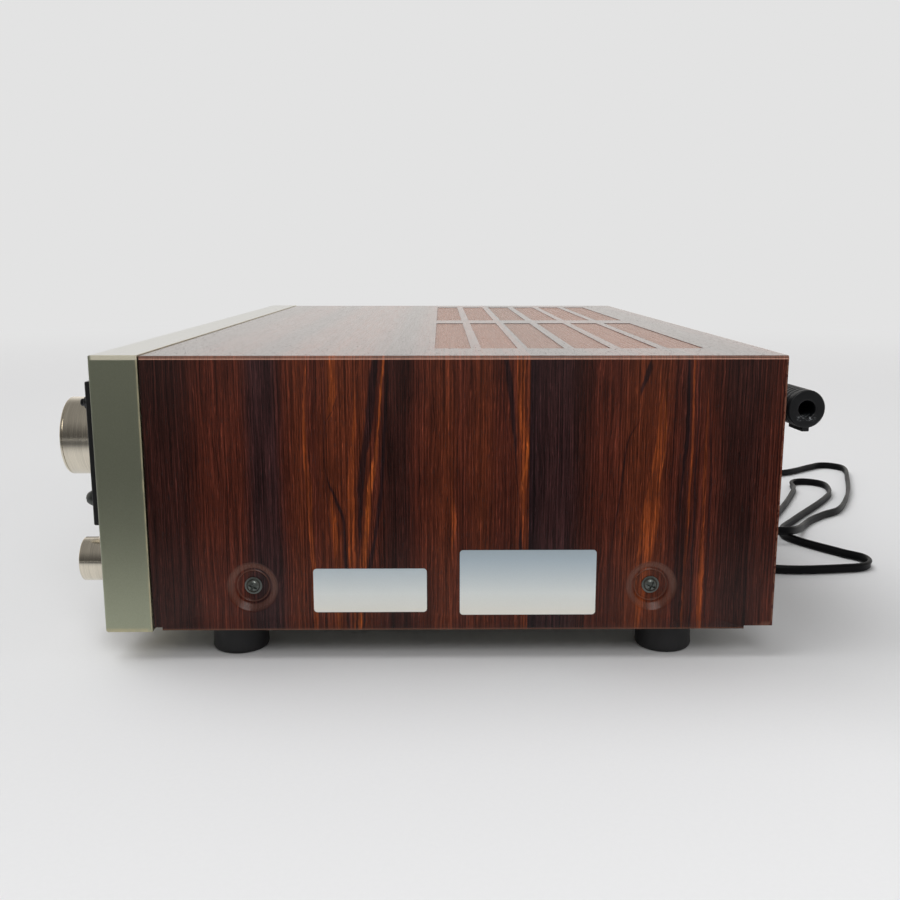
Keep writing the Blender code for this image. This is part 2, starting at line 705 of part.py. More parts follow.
def make_rear_panel():
    """The painted rear panel, with a cutout behind each connector."""
    side = HALF_COVER - COVER_WALL - LID_CLEARANCE
    sheet = box((-side, REAR_INNER, PAN_BOTTOM), (side, REAR_OUTER, LID_INSIDE))
    panel = finish("rear_panel", sheet, REAR_PAINT)
    cuts = bmesh.new()
    low = REAR_INNER - OVERRUN
    high = REAR_OUTER + OVERRUN
    for share, z, width, height in connector_places():
        x = share * COVER_WIDTH
        box((x - width / 2 - GAP, low, COVER_BOTTOM + z - height / 2 - GAP),
            (x + width / 2 + GAP, high, COVER_BOTTOM + z + height / 2 + GAP), cuts)
    cord_exit = (CORD_EXIT_SHARE * COVER_WIDTH, COVER_BOTTOM + CORD_EXIT_HEIGHT)
    hole(RELIEF_RADIUS + GAP, cord_exit, low, high, cuts)
    cut(panel, "rear_cutouts", cuts)


def connector_places():
    """Share of the width, height, and size of the body of each rear connector."""
    return ((JACK_SHARE, JACK_Z, JACK_WIDTH, JACK_HEIGHT),
            (SPEAKER_BLOCK_SHARE, SPEAKER_BLOCK_Z, SPEAKER_BLOCK_WIDTH, SPEAKER_BLOCK_HEIGHT),
            (AERIAL_BLOCK_SHARE, AERIAL_BLOCK_Z, AERIAL_BLOCK_WIDTH, AERIAL_BLOCK_HEIGHT),
            (OUTLET_SHARE, OUTLET_Z, OUTLET_WIDTH, OUTLET_HEIGHT))


def row_holes():
    """Name, X and radius of each round hole for the lower row of controls."""
    shaft = SHAFT_RADIUS + SHAFT_CLEARANCE
    for name, x in knob_places():
        yield name, x, shaft
    yield "power", POWER_SHARE * PANEL_WIDTH, POWER_RADIUS + RUNNING_GAP
    yield "phones", PHONES_SHARE * PANEL_WIDTH, SOCKET_RADIUS + GAP


def knob_places():
    """Name and X of each knob in the lower row."""
    return (("speaker_knob", SPEAKER_SHARE * PANEL_WIDTH), ("bass_knob", BASS_SHARE * PANEL_WIDTH),
            ("treble_knob", TREBLE_SHARE * PANEL_WIDTH), ("balance_knob", BALANCE_SHARE * PANEL_WIDTH),
            ("volume_knob", VOLUME_SHARE * PANEL_WIDTH), ("source_knob", SOURCE_X))


def button_places():
    """Name and X of each push button."""
    for index, name in enumerate(("loudness_button", "tape_button")):
        yield name, (BUTTON_SHARE + BUTTON_PITCH_SHARE * index) * PANEL_WIDTH


def make_sub_panel():
    """The steel sub-panel that carries the controls, with studs for the two idlers."""
    half = HALF_COVER - SUB_PANEL_SIDE_GAP
    panel = finish("sub_panel", box((-half, SUB_FRONT, PAN_FLOOR + GAP),
                                    (half, SUB_BACK, COVER_TOP - SUB_PANEL_FROM_TOP)), ZINC)
    studs = bmesh.new()
    reach = SUB_FRONT - STRING_Y + STRING_WIDTH / 2
    for x in (IDLER_LEFT_X, IDLER_RIGHT_X):
        turned([(IDLER_STUD_RADIUS, -STEEL / 2), (IDLER_STUD_RADIUS, reach)], (x, SUB_FRONT, IDLER_Z),
               (0.0, -1.0, 0.0), ROUND_STEPS, studs)
    unite(panel, "idler_studs", studs)
    cuts = bmesh.new()
    low = SUB_FRONT - OVERRUN
    high = SUB_BACK + OVERRUN
    for name, x, _ in row_holes():
        radius = SHAFT_RADIUS + RUNNING_GAP
        if name == "phones":
            radius = SOCKET_RADIUS + GAP
        if name == "power":
            radius = STEM_SIZE / 2 + RUNNING_GAP
        hole(radius, (x, ROW_Z), low, high, cuts)
    for _, x in button_places():
        half_stem = STEM_SIZE / 2 + RUNNING_GAP
        box((x - half_stem, low, ROW_Z - half_stem), (x + half_stem, high, ROW_Z + half_stem), cuts)
    hole(SHAFT_RADIUS + RUNNING_GAP, (TUNING_X, PLATE_MIDDLE), low, high, cuts)
    hole(SHAFT_RADIUS + RUNNING_GAP, (DRUM_X, DRUM_Z), low, high, cuts)
    cut(panel, "sub_panel_holes", cuts)


def make_front_panel():
    """The aluminium front: a face with deep returns all round, open behind."""
    low = COVER_BOTTOM - PANEL_DROP
    high = COVER_TOP + PANEL_RISE
    back = FRONT - SEAM
    shape = box((-HALF_PANEL, PANEL_FRONT, low), (HALF_PANEL, back, high))
    bevel_ring(shape, lambda co: co.y < PANEL_BACK, PANEL_BEVEL, 2)
    panel = finish("front_panel", shape, SILVER)
    cut(panel, "panel_hollow", box((-HALF_PANEL + PANEL_WALL, PANEL_BACK, low + PANEL_WALL),
                                   (HALF_PANEL - PANEL_WALL, back + OVERRUN, high - PANEL_WALL)))
    cuts = bmesh.new()
    near = PANEL_FRONT - OVERRUN
    far = PANEL_BACK + OVERRUN
    box((WINDOW_LEFT + OPENING_INSET, near, WINDOW_LOW + OPENING_INSET),
        (WINDOW_RIGHT - OPENING_INSET, far, WINDOW_HIGH - OPENING_INSET), cuts)
    hole(SHAFT_RADIUS + SHAFT_CLEARANCE, (TUNING_X, PLATE_MIDDLE), near, far, cuts)
    for _, x, radius in row_holes():
        hole(radius, (x, ROW_Z), near, far, cuts)
    for _, x in button_places():
        half_width = BUTTON_WIDTH / 2 + RUNNING_GAP
        half_height = BUTTON_HEIGHT / 2 + RUNNING_GAP
        box((x - half_width, near, ROW_Z - half_height), (x + half_width, far, ROW_Z + half_height), cuts)
    cut(panel, "panel_openings", cuts)


def make_dial_plate():
    """The black plate that stands proud of the front, and the glass set in its window."""
    shape = box((-HALF_PLATE, PLATE_FRONT, PLATE_LOW), (HALF_PLATE, PLATE_BACK, PLATE_HIGH))
    bevel_ring(shape, lambda co: co.y < PLATE_BACK - PLATE_THICKNESS / 2, PLATE_BEVEL)
    plate = finish("dial_plate", shape, BLACK)
    cuts = bmesh.new()
    near = PLATE_FRONT - OVERRUN
    far = PLATE_BACK + OVERRUN
    box((WINDOW_LEFT, near, WINDOW_LOW), (WINDOW_RIGHT, far, WINDOW_HIGH), cuts)
    hole(SHAFT_RADIUS + SHAFT_CLEARANCE, (TUNING_X, PLATE_MIDDLE), near, far, cuts)
    cut(plate, "plate_openings", cuts)
    glass = box((WINDOW_LEFT + GAP, PLATE_BACK - GLASS_THICKNESS, WINDOW_LOW + GAP),
                (WINDOW_RIGHT - GAP, PLATE_BACK, WINDOW_HIGH - GAP))
    finish("dial_glass", glass, GLASS)


# Dial and tuning drive

def groove_profile(radius, half, depth):
    """Rim of a pulley with a string groove, from its front face to its back face."""
    return [(radius, -half), (radius, -half / 2), (radius - depth, -half / 4), (radius - depth, half / 4),
            (radius, half / 2), (radius, half)]


def make_tuning_knob():
    """The large turned knob and the shaft it sits on, with the flywheel behind the sub-panel."""
    centre = (TUNING_X, PLATE_FRONT - KNOB_CLEARANCE, PLATE_MIDDLE)
    length = TUNING_KNOB_LENGTH
    radius = TUNING_KNOB_RADIUS
    bore = SHAFT_RADIUS + GAP
    profile = [(bore, KNOB_BORE_DEPTH), (bore, 0.0), (radius - KNOB_BEVEL, 0.0), (radius, KNOB_BEVEL),
               (radius, length - KNOB_BEVEL), (radius - KNOB_BEVEL, length), (radius - KNOB_RIM, length),
               (radius - KNOB_RIM - KNOB_DISH, length - KNOB_DISH)]
    shape = turned(profile, centre, (0.0, -1.0, 0.0), KNOB_STEPS)
    finish("tuning_knob", shape, TURNED, centre, smooth=True)
    tip = centre[1] - KNOB_BORE_DEPTH + GAP
    wheel = SUB_BACK + RUNNING_GAP
    groove = groove_profile(SLEEVE_RADIUS, STRING_WIDTH / 2, STRING_GROOVE)
    profile = [(SHAFT_RADIUS, 0.0)]
    profile += [(SHAFT_RADIUS, STRING_Y - STRING_WIDTH / 2 - tip)]
    profile += [(r, STRING_Y + along - tip) for r, along in groove]
    profile += [(SHAFT_RADIUS, STRING_Y + STRING_WIDTH / 2 - tip), (SHAFT_RADIUS, wheel - tip)]
    web = FLYWHEEL_RADIUS - FLYWHEEL_RIM
    profile += [(FLYWHEEL_RADIUS, wheel - tip), (FLYWHEEL_RADIUS, wheel + FLYWHEEL_WIDTH - tip),
                (web, wheel + FLYWHEEL_WIDTH - tip), (web, wheel + FLYWHEEL_WEB - tip),
                (SHAFT_RADIUS, wheel + FLYWHEEL_WEB - tip), (SHAFT_RADIUS, wheel + FLYWHEEL_WIDTH - tip)]
    pivot = (TUNING_X, STRING_Y, PLATE_MIDDLE)
    shape = turned(profile, (TUNING_X, tip, PLATE_MIDDLE), (0.0, 1.0, 0.0), SHAFT_STEPS)
    finish("tuning_shaft", shape, BRASS, pivot, smooth=True)


def make_drum():
    """The dial drum on its short shaft, which turns in the tuning gang."""
    half = STRING_WIDTH / 2
    rim = groove_profile(DRUM_RADIUS, half, STRING_GROOVE)
    profile = [(SHAFT_RADIUS, -half)] + rim
    profile += [(SHAFT_RADIUS, half), (SHAFT_RADIUS, SUB_BACK + GANG_SHAFT_DEPTH - STRING_Y)]
    pivot = (DRUM_X, STRING_Y, DRUM_Z)
    shape = turned(profile, pivot, (0.0, 1.0, 0.0), TURNED_STEPS)
    drum = finish("dial_drum", shape, WHITE, pivot, smooth=True)
    window = bmesh.new()
    ring = (DRUM_RADIUS + SHAFT_RADIUS) / 2
    for turn in range(DRUM_HOLES):
        angle = math.tau * turn / DRUM_HOLES
        spot = (DRUM_X + ring * math.cos(angle), DRUM_Z + ring * math.sin(angle))
        hole(DRUM_RADIUS / 5, spot, STRING_Y - half - OVERRUN, STRING_Y + half + OVERRUN, window)
    cut(drum, "drum_holes", window)


def make_gang():
    """The tuning gang behind the sub-panel, with a bore for the drum's shaft."""
    low = SUB_BACK + GAP
    gang = finish("tuning_gang", box((DRUM_X - GANG_WIDTH / 2, low, DRUM_Z - GANG_HEIGHT / 2),
                                     (DRUM_X + GANG_WIDTH / 2, low + GANG_LENGTH, DRUM_Z + GANG_HEIGHT / 2)),
                  ZINC)
    cuts = bmesh.new()
    hole(SHAFT_RADIUS + RUNNING_GAP, (DRUM_X, DRUM_Z), low - OVERRUN, SUB_BACK + GANG_SHAFT_DEPTH + GAP, cuts)
    pitch = GANG_LENGTH / GANG_BAYS
    for bay in range(GANG_BAYS):
        start = low + pitch * (bay + 0.5)
        box((DRUM_X - GANG_WIDTH / 2 - OVERRUN, start, DRUM_Z + GANG_HEIGHT / 8),
            (DRUM_X + GANG_WIDTH / 4, start + pitch / 4, DRUM_Z + GANG_HEIGHT / 2 + OVERRUN), cuts)
    cut(gang, "gang_cuts", cuts)


def make_idlers():
    """Two small grooved pulleys on studs at the ends of the pointer's run."""
    bore = IDLER_STUD_RADIUS + GAP
    half = STRING_WIDTH / 2
    for name, x in (("idler_left", IDLER_LEFT_X), ("idler_right", IDLER_RIGHT_X)):
        profile = [(bore, -half)] + groove_profile(IDLER_RADIUS, half, STRING_GROOVE) + [(bore, half)]
        pivot = (x, STRING_Y, IDLER_Z)
        shape = turned(profile, pivot, (0.0, 1.0, 0.0), ROUND_STEPS, closed=True)
        finish(name, shape, WHITE, pivot, smooth=True)


def make_scale():
    """The printed scale plate and the lamp housing that lights it from behind."""
    scale = box((LAMP_LEFT, SCALE_FRONT, LAMP_LOW + SCALE_MARGIN),
                (LAMP_RIGHT, SCALE_FRONT + SCALE_THICKNESS, LAMP_HIGH - SCALE_MARGIN))
    finish("dial_scale", scale, WHITE)
    block = box((LAMP_LEFT, LAMP_FRONT, LAMP_LOW), (LAMP_RIGHT, LAMP_BACK, LAMP_HIGH))
    housing = finish("lamp_housing", block, WHITE)
    cut(housing, "lamp_hollow", box((LAMP_LEFT + LAMP_WALL, LAMP_FRONT - OVERRUN, LAMP_LOW + LAMP_WALL),
                                    (LAMP_RIGHT - LAMP_WALL, LAMP_BACK - LAMP_WALL, LAMP_HIGH - LAMP_WALL)))
    posts = bmesh.new()
    inset = LAMP_POST_RADIUS + LAMP_WALL
    for x in (LAMP_LEFT + inset, LAMP_RIGHT - inset):
        for z in (LAMP_LOW + inset, LAMP_HIGH - inset):
            turned([(LAMP_POST_RADIUS, 0.0), (LAMP_POST_RADIUS, SUB_FRONT - GAP - LAMP_BACK + LAMP_WALL / 2)],
                   (x, LAMP_BACK - LAMP_WALL / 2, z), (0.0, 1.0, 0.0), POST_STEPS, posts)
    unite(housing, "lamp_posts", posts)


def make_pointer():
    """The pointer, whose carriage hangs over the rail above the lamp housing."""
    half = CARRIAGE_WIDTH / 2
    front = RAIL_FRONT - GAP - CARRIAGE_WALL
    back = RAIL_BACK + GAP + CARRIAGE_WALL
    arm_low = RAIL_HIGH + GAP
    arm_high = arm_low + CARRIAGE_WALL
    lip = RAIL_LOW + GAP
    outline = [(POINTER_FRONT, WINDOW_LOW + POINTER_FOOT),
               (POINTER_FRONT + POINTER_THICKNESS, WINDOW_LOW + POINTER_FOOT),
               (POINTER_FRONT + POINTER_THICKNESS, arm_low), (front, arm_low), (front, lip),
               (front + CARRIAGE_WALL, lip), (front + CARRIAGE_WALL, arm_low),
               (back - CARRIAGE_WALL, arm_low), (back - CARRIAGE_WALL, lip), (back, lip), (back, arm_high),
               (POINTER_FRONT, arm_high)]
    origin = (POINTER_X, RAIL_FRONT, RAIL_LOW)
    shape = prism(outline, across_x, POINTER_X - half, POINTER_X + half)
    pointer = finish("dial_pointer", shape, RED, origin)
    slim = bmesh.new()
    near = POINTER_FRONT - OVERRUN
    far = POINTER_FRONT + POINTER_THICKNESS + OVERRUN
    low = WINDOW_LOW + POINTER_FOOT - OVERRUN
    for side in (-1, 1):
        ends = sorted((POINTER_X + side * POINTER_WIDTH / 2, POINTER_X + side * (half + OVERRUN)))
        box((ends[0], near, low), (ends[1], far, WINDOW_HIGH), slim)
    cut(pointer, "pointer_waist", slim)
    tab = RAIL_TAB / 2
    left = LAMP_LEFT - tab
    right = LAMP_RIGHT + tab
    rail = finish("pointer_rail", box((left, RAIL_FRONT, RAIL_LOW), (right, RAIL_BACK, RAIL_HIGH)), ZINC)
    ends = bmesh.new()
    for low_x, high_x in ((left, left + RAIL_SIZE), (right - RAIL_SIZE, right)):
        box((low_x, RAIL_BACK - RAIL_SIZE / 2, RAIL_LOW + RAIL_SIZE / 8),
            (high_x, SUB_FRONT - GAP, RAIL_HIGH - RAIL_SIZE / 8), ends)
    unite(rail, "rail_tabs", ends)


def make_meter(name, needle_name, left, rest_angle):
    """A meter housing with a recess in front, and the needle that swings in it on a pin."""
    right = left + METER_WIDTH
    high = METER_Z + METER_HEIGHT
    floor = METER_FRONT + METER_RECESS
    housing = finish(name, box((left, METER_FRONT, METER_Z), (right, METER_BACK, high)), WHITE)
    cut(housing, name + "_recess", box((left + METER_WALL, METER_FRONT - OVERRUN, METER_Z + METER_WALL),
                                       (right - METER_WALL, floor, high - METER_WALL)))
    x = (left + right) / 2
    z = METER_Z + NEEDLE_PIVOT_HEIGHT
    pin = METER_RECESS - NEEDLE_CLEARANCE
    unite(housing, name + "_pin", turned([(NEEDLE_PIN_RADIUS, -METER_WALL), (NEEDLE_PIN_RADIUS, pin)],
                                         (x, floor, z), (0.0, -1.0, 0.0), BORE_STEPS))
    hub_back = floor - NEEDLE_CLEARANCE
    hub_front = hub_back - pin + NEEDLE_CLEARANCE + RUNNING_GAP
    bore = NEEDLE_PIN_RADIUS + GAP
    pivot = Vector((x, hub_back, z))
    shape = turned([(bore, 0.0), (NEEDLE_HUB_RADIUS, 0.0), (NEEDLE_HUB_RADIUS, hub_back - hub_front),
                    (bore, hub_back - hub_front)], pivot, (0.0, -1.0, 0.0), ROUND_STEPS, closed=True)
    needle = finish(needle_name, shape, PLASTIC, pivot)
    start = (bore + NEEDLE_HUB_RADIUS) / 2
    middle = (hub_back + hub_front) / 2
    blade = [(-NEEDLE_WIDTH / 2, start), (NEEDLE_WIDTH / 2, start), (NEEDLE_WIDTH / 4, NEEDLE_LENGTH),
             (-NEEDLE_WIDTH / 4, NEEDLE_LENGTH)]
    turn = Matrix.Rotation(-rest_angle, 4, "Y")
    shape = prism(blade, along_y, -NEEDLE_THICKNESS / 2, NEEDLE_THICKNESS / 2)
    shape.transform(Matrix.Translation((x, middle, z)) @ turn)
    unite(needle, needle_name + "_blade", shape)


# Lower row of controls

def make_row_knob(name, x, radius, length):
    """A turned knob and its control shaft, with an index mark cut in the front."""
    start = PANEL_FRONT - KNOB_CLEARANCE
    centre = (x, start, ROW_Z)
    end = SUB_BACK + CONTROL_BORE_DEPTH
    profile = [(SHAFT_RADIUS, start - end), (SHAFT_RADIUS, 0.0), (radius - KNOB_BEVEL, 0.0),
               (radius, KNOB_BEVEL), (radius, length - KNOB_BEVEL), (radius - KNOB_BEVEL, length)]
    shape = turned(profile, centre, (0.0, -1.0, 0.0), TURNED_STEPS)
    knob = finish(name, shape, TURNED, centre, smooth=True)
    front = start - length
    cut(knob, name + "_mark", box((x - MARK_WIDTH / 2, front - OVERRUN, ROW_Z + radius * MARK_START_SHARE),
                                  (x + MARK_WIDTH / 2, front + MARK_DEPTH, ROW_Z + radius + OVERRUN)))


def control_hole(x, depth, into):
    """A blind bore for a control's shaft, from the sub-panel backwards."""
    low = SUB_BACK + GAP
    hole(SHAFT_RADIUS + RUNNING_GAP, (x, ROW_Z), low - OVERRUN, low + depth, into)


def make_controls():
    """The switches and variable resistors behind the sub-panel."""
    low = SUB_BACK + GAP
    for name, share_x in (("speaker_switch", SPEAKER_SHARE * PANEL_WIDTH), ("source_switch", SOURCE_X)):
        body = finish(name, box((share_x - SWITCH_WIDTH / 2, low, ROW_Z - SWITCH_HEIGHT / 2),
                                (share_x + SWITCH_WIDTH / 2, low + SWITCH_DEPTH, ROW_Z + SWITCH_HEIGHT / 2)),
                      PLASTIC)
        bore = bmesh.new()
        control_hole(share_x, CONTROL_BORE_DEPTH, bore)
        cut(body, name + "_bore", bore)
    x = VOLUME_SHARE * PANEL_WIDTH
    centre = (x, low, ROW_Z)
    outline = [(CONTROL_RADIUS, 0.0), (CONTROL_RADIUS, CONTROL_DEPTH)]
    shape = turned(outline, centre, (0.0, 1.0, 0.0), SHAFT_STEPS)
    body = finish("volume_control", shape, ZINC, centre, smooth=True)
    bore = bmesh.new()
    control_hole(x, CONTROL_BORE_DEPTH, bore)
    cut(body, "volume_bore", bore)
    make_tone_board(low)


def make_tone_board(low):
    """The strip board that carries the bass, treble and balance controls as one soldered assembly."""
    places = [share * PANEL_WIDTH for share in (BASS_SHARE, TREBLE_SHARE, BALANCE_SHARE)]
    back = low + CONTROL_DEPTH
    reach = CONTROL_RADIUS + TONE_BOARD_MARGIN
    board = finish("tone_board", box((places[0] - reach, back, ROW_Z - TONE_BOARD_HEIGHT / 3),
                                     (places[-1] + reach, back + TONE_BOARD_THICKNESS,
                                      ROW_Z + TONE_BOARD_HEIGHT * 2 / 3)), BOARD)
    bodies = bmesh.new()
    bores = bmesh.new()
    for x in places:
        turned([(CONTROL_RADIUS, 0.0), (CONTROL_RADIUS, CONTROL_DEPTH + TONE_BOARD_THICKNESS / 2)],
               (x, low, ROW_Z), (0.0, 1.0, 0.0), SHAFT_STEPS, bodies)
        control_hole(x, CONTROL_BORE_DEPTH, bores)
    unite(board, "tone_controls", bodies)
    cut(board, "tone_bores", bores)


def make_buttons():
    """Push buttons with stems, and the switch bank that the stems slide in."""
    low = SUB_BACK + GAP
    front = PANEL_FRONT - BUTTON_REACH
    neck = PANEL_BACK + BUTTON_TRAVEL / 2
    half = STEM_SIZE / 2
    places = list(button_places())
    for name, x in places:
        shape = box((x - BUTTON_WIDTH / 2, front, ROW_Z - BUTTON_HEIGHT / 2),
                    (x + BUTTON_WIDTH / 2, neck, ROW_Z + BUTTON_HEIGHT / 2))
        bevel_ring(shape, lambda co: co.y < front + GAP, BUTTON_BEVEL)
        button = finish(name, shape, TURNED, (x, front, ROW_Z))
        unite(button, name + "_stem", box((x - half, neck - BUTTON_TRAVEL / 2, ROW_Z - half),
                                          (x + half, low + BUTTON_TRAVEL, ROW_Z + half)))
    reach = BUTTON_WIDTH / 2 + BANK_MARGIN
    shape = box((places[0][1] - reach, low, ROW_Z - BANK_HEIGHT / 2),
                (places[-1][1] + reach, low + BANK_DEPTH, ROW_Z + BANK_HEIGHT / 2))
    bank = finish("button_bank", shape, PLASTIC)
    wells = bmesh.new()
    half += RUNNING_GAP
    for _, x in places:
        box((x - half, low - OVERRUN, ROW_Z - half),
            (x + half, low + BUTTON_TRAVEL * 2 + RUNNING_GAP, ROW_Z + half), wells)
    cut(bank, "button_wells", wells)


def make_power_button():
    """The round power button; its rod slides in the sub-panel."""
    x = POWER_SHARE * PANEL_WIDTH
    front = PANEL_FRONT - POWER_REACH
    head = PANEL_BACK + POWER_TRAVEL / 2 - front
    rod = STEM_SIZE / 2
    length = SUB_BACK + POWER_TRAVEL - front
    profile = [(POWER_RADIUS - BUTTON_BEVEL, 0.0), (POWER_RADIUS, BUTTON_BEVEL), (POWER_RADIUS, head),
               (rod, head), (rod, length)]
    shape = turned(profile, (x, front, ROW_Z), (0.0, 1.0, 0.0), SHAFT_STEPS)
    finish("power_button", shape, TURNED, (x, front, ROW_Z), smooth=True)


def make_headphone_socket():
    """The headphone socket, clamped in the front panel by its ring."""
    x = PHONES_SHARE * PANEL_WIDTH
    front = PANEL_FRONT - GAP - SOCKET_NUT_THICKNESS
    length = SOCKET_LENGTH + GAP + SOCKET_NUT_THICKNESS
    flange = SOCKET_NUT_THICKNESS
    profile = [(SOCKET_BORE, length - STEEL), (SOCKET_BORE, 0.0), (SOCKET_NUT_RADIUS, 0.0),
               (SOCKET_NUT_RADIUS, flange), (SOCKET_RADIUS, flange), (SOCKET_RADIUS, length)]
    shape = turned(profile, (x, front, ROW_Z), (0.0, 1.0, 0.0), SHAFT_STEPS)
    finish("headphone_socket", shape, ZINC, (x, front, ROW_Z), smooth=True)


# Pieces inside

def make_transformer():
    """The power transformer: a laminated core with its winding standing proud front and back."""
    x = CORE_SHARE * COVER_WIDTH
    y = FRONT + CORE_FRONT_SHARE * COVER_DEPTH
    low = PAN_FLOOR + GAP
    core = finish("power_transformer", box((x - CORE_WIDTH / 2, y, low),
                                           (x + CORE_WIDTH / 2, y + CORE_DEPTH, low + CORE_HEIGHT)), ZINC)
    half = CORE_WIDTH * COIL_WIDTH_SHARE / 2
    rise = CORE_HEIGHT * (1 - COIL_HEIGHT_SHARE) / 2
    shape = box((x - half, y - COIL_PROUD, low + rise), (x + half, y + CORE_DEPTH + COIL_PROUD,
                                                        low + CORE_HEIGHT - rise))
    bevel_ring(shape, lambda co: True, COIL_PROUD / 3)
    unite(core, "transformer_winding", shape)


def make_heat_sink():
    """A finned heat sink standing on the pan, fins towards the rear."""
    x = SINK_SHARE * COVER_WIDTH
    y = FRONT + SINK_FRONT_SHARE * COVER_DEPTH
    left = x - SINK_WIDTH / 2
    pitch = (SINK_WIDTH - SINK_FIN) / (SINK_FINS - 1)
    root = y + SINK_BASE
    tip = root + SINK_FIN_LENGTH
    outline = [(left + SINK_WIDTH, y), (left, y)]
    for fin in range(SINK_FINS):
        start = left + pitch * fin
        if fin:
            outline.append((start, root))
        outline += [(start, tip), (start + SINK_FIN, tip)]
        if fin < SINK_FINS - 1:
            outline.append((start + SINK_FIN, root))
    low = PAN_FLOOR + GAP
    finish("heat_sink", prism(outline, along_z, low, low + SINK_HEIGHT), SILVER)


def make_amplifier_board():
    """The amplifier board on four posts, with its power parts, and the two main capacitors on it."""
    x = BOARD_SHARE * COVER_WIDTH
    y = FRONT + SINK_FRONT_SHARE * COVER_DEPTH - BOARD_TO_SINK - BOARD_DEPTH
    low = PAN_FLOOR + GAP
    top = low + BOARD_POST
    half = BOARD_WIDTH / 2
    sheet = box((x - half, y, top), (x + half, y + BOARD_DEPTH, top + BOARD_THICKNESS))
    board = finish("amplifier_board", sheet, BOARD)
    extras = bmesh.new()
    inset = BOARD_POST_RADIUS * 2
    for px in (x - half + inset, x + half - inset):
        for py in (y + inset, y + BOARD_DEPTH - inset):
            turned([(BOARD_POST_RADIUS, 0.0), (BOARD_POST_RADIUS, BOARD_POST + BOARD_THICKNESS / 2)],
                   (px, py, low), (0.0, 0.0, 1.0), POST_STEPS, extras)
    for part in range(POWER_PARTS):
        px = x - half + POWER_PART_WIDTH + (POWER_PART_WIDTH * 2) * part
        py = y + BOARD_DEPTH - POWER_PART_DEPTH * 3
        box((px, py, top + BOARD_THICKNESS / 2),
            (px + POWER_PART_WIDTH, py + POWER_PART_DEPTH, top + BOARD_THICKNESS + POWER_PART_HEIGHT), extras)
    unite(board, "board_parts", extras)
    for index, name in enumerate(("main_capacitor_left", "main_capacitor_right")):
        centre = (x + (index - 0.5) * CAPACITOR_PITCH, y + CAPACITOR_RADIUS * 2, top + BOARD_THICKNESS + GAP)
        edge = KNOB_BEVEL
        profile = [(CAPACITOR_RADIUS, 0.0), (CAPACITOR_RADIUS, CAPACITOR_HEIGHT - edge),
                   (CAPACITOR_RADIUS - edge, CAPACITOR_HEIGHT)]
        finish(name, turned(profile, centre, (0.0, 0.0, 1.0), CAPACITOR_STEPS), BLUE, centre, smooth=True)


# Rear connectors

def connector(name, share, z, width, height, mat):
    """A connector body through the rear panel, with a flange on its outer face."""
    x = share * COVER_WIDTH
    middle = COVER_BOTTOM + z
    outer = REAR_OUTER + GAP
    wide = width / 2 + FLANGE_MARGIN
    tall = height / 2 + FLANGE_MARGIN
    body = finish(name, box((x - wide, outer, middle - tall), (x + wide, outer + FLANGE, middle + tall)), mat)
    unite(body, name + "_body", box((x - width / 2, REAR_INNER - CONNECTOR_DEPTH, middle - height / 2),
                                    (x + width / 2, outer + FLANGE / 2, middle + height / 2)))
    return body, x, middle, outer + FLANGE


def make_jacks():
    """Input sockets in two rows on one plate."""
    body, x, middle, face = connector("input_jacks", JACK_SHARE, JACK_Z, JACK_WIDTH, JACK_HEIGHT, PLASTIC)
    rings = bmesh.new()
    bores = bmesh.new()
    for column in range(JACK_COLUMNS):
        px = x + JACK_WIDTH * ((column + 0.5) / JACK_COLUMNS - 0.5)
        for row in (-1, 1):
            pz = middle + row * JACK_HEIGHT / 4
            turned([(JACK_RADIUS, -FLANGE / 2), (JACK_RADIUS, JACK_LENGTH)], (px, face, pz),
                   (0.0, 1.0, 0.0), ROUND_STEPS, rings)
            turned([(JACK_BORE, 0.0), (JACK_BORE, JACK_LENGTH + OVERRUN)], (px, face, pz),
                   (0.0, 1.0, 0.0), BORE_STEPS, bores)
    unite(body, "jack_rings", rings)
    cut(body, "jack_bores", bores)


def make_speaker_terminals():
    """Push terminals for two pairs of speakers."""
    body, x, middle, face = connector("speaker_terminals", SPEAKER_BLOCK_SHARE, SPEAKER_BLOCK_Z,
                                      SPEAKER_BLOCK_WIDTH, SPEAKER_BLOCK_HEIGHT, PLASTIC)
    keys = bmesh.new()
    holes = bmesh.new()
    for key in range(SPEAKER_KEYS):
        px = x + SPEAKER_BLOCK_WIDTH * ((key + 0.5) / SPEAKER_KEYS - 0.5)
        half = SPEAKER_KEY_WIDTH / 2
        box((px - half, face - FLANGE / 2, middle), (px + half, face + SPEAKER_KEY_REACH,
                                                     middle + SPEAKER_KEY_HEIGHT), keys)
        hole(SPEAKER_HOLE, (px, middle - SPEAKER_BLOCK_HEIGHT / 4), face - SPEAKER_HOLE_DEPTH,
             face + OVERRUN, holes, BORE_STEPS)
    unite(body, "speaker_keys", keys)
    cut(body, "speaker_holes", holes)


def make_aerial_terminals():
    """Screw terminals for the outside aerials."""
    body, x, middle, face = connector("aerial_terminals", AERIAL_BLOCK_SHARE, AERIAL_BLOCK_Z,
                                      AERIAL_BLOCK_WIDTH, AERIAL_BLOCK_HEIGHT, PLASTIC)
    screws = bmesh.new()
    for screw in range(AERIAL_SCREWS):
        px = x + AERIAL_BLOCK_WIDTH * ((screw + 0.5) / AERIAL_SCREWS - 0.5)
        turned([(AERIAL_SCREW_RADIUS, -FLANGE / 2), (AERIAL_SCREW_RADIUS, AERIAL_SCREW_REACH)],
               (px, face, middle), (0.0, 1.0, 0.0), ROUND_STEPS, screws)
    unite(body, "aerial_screws", screws)


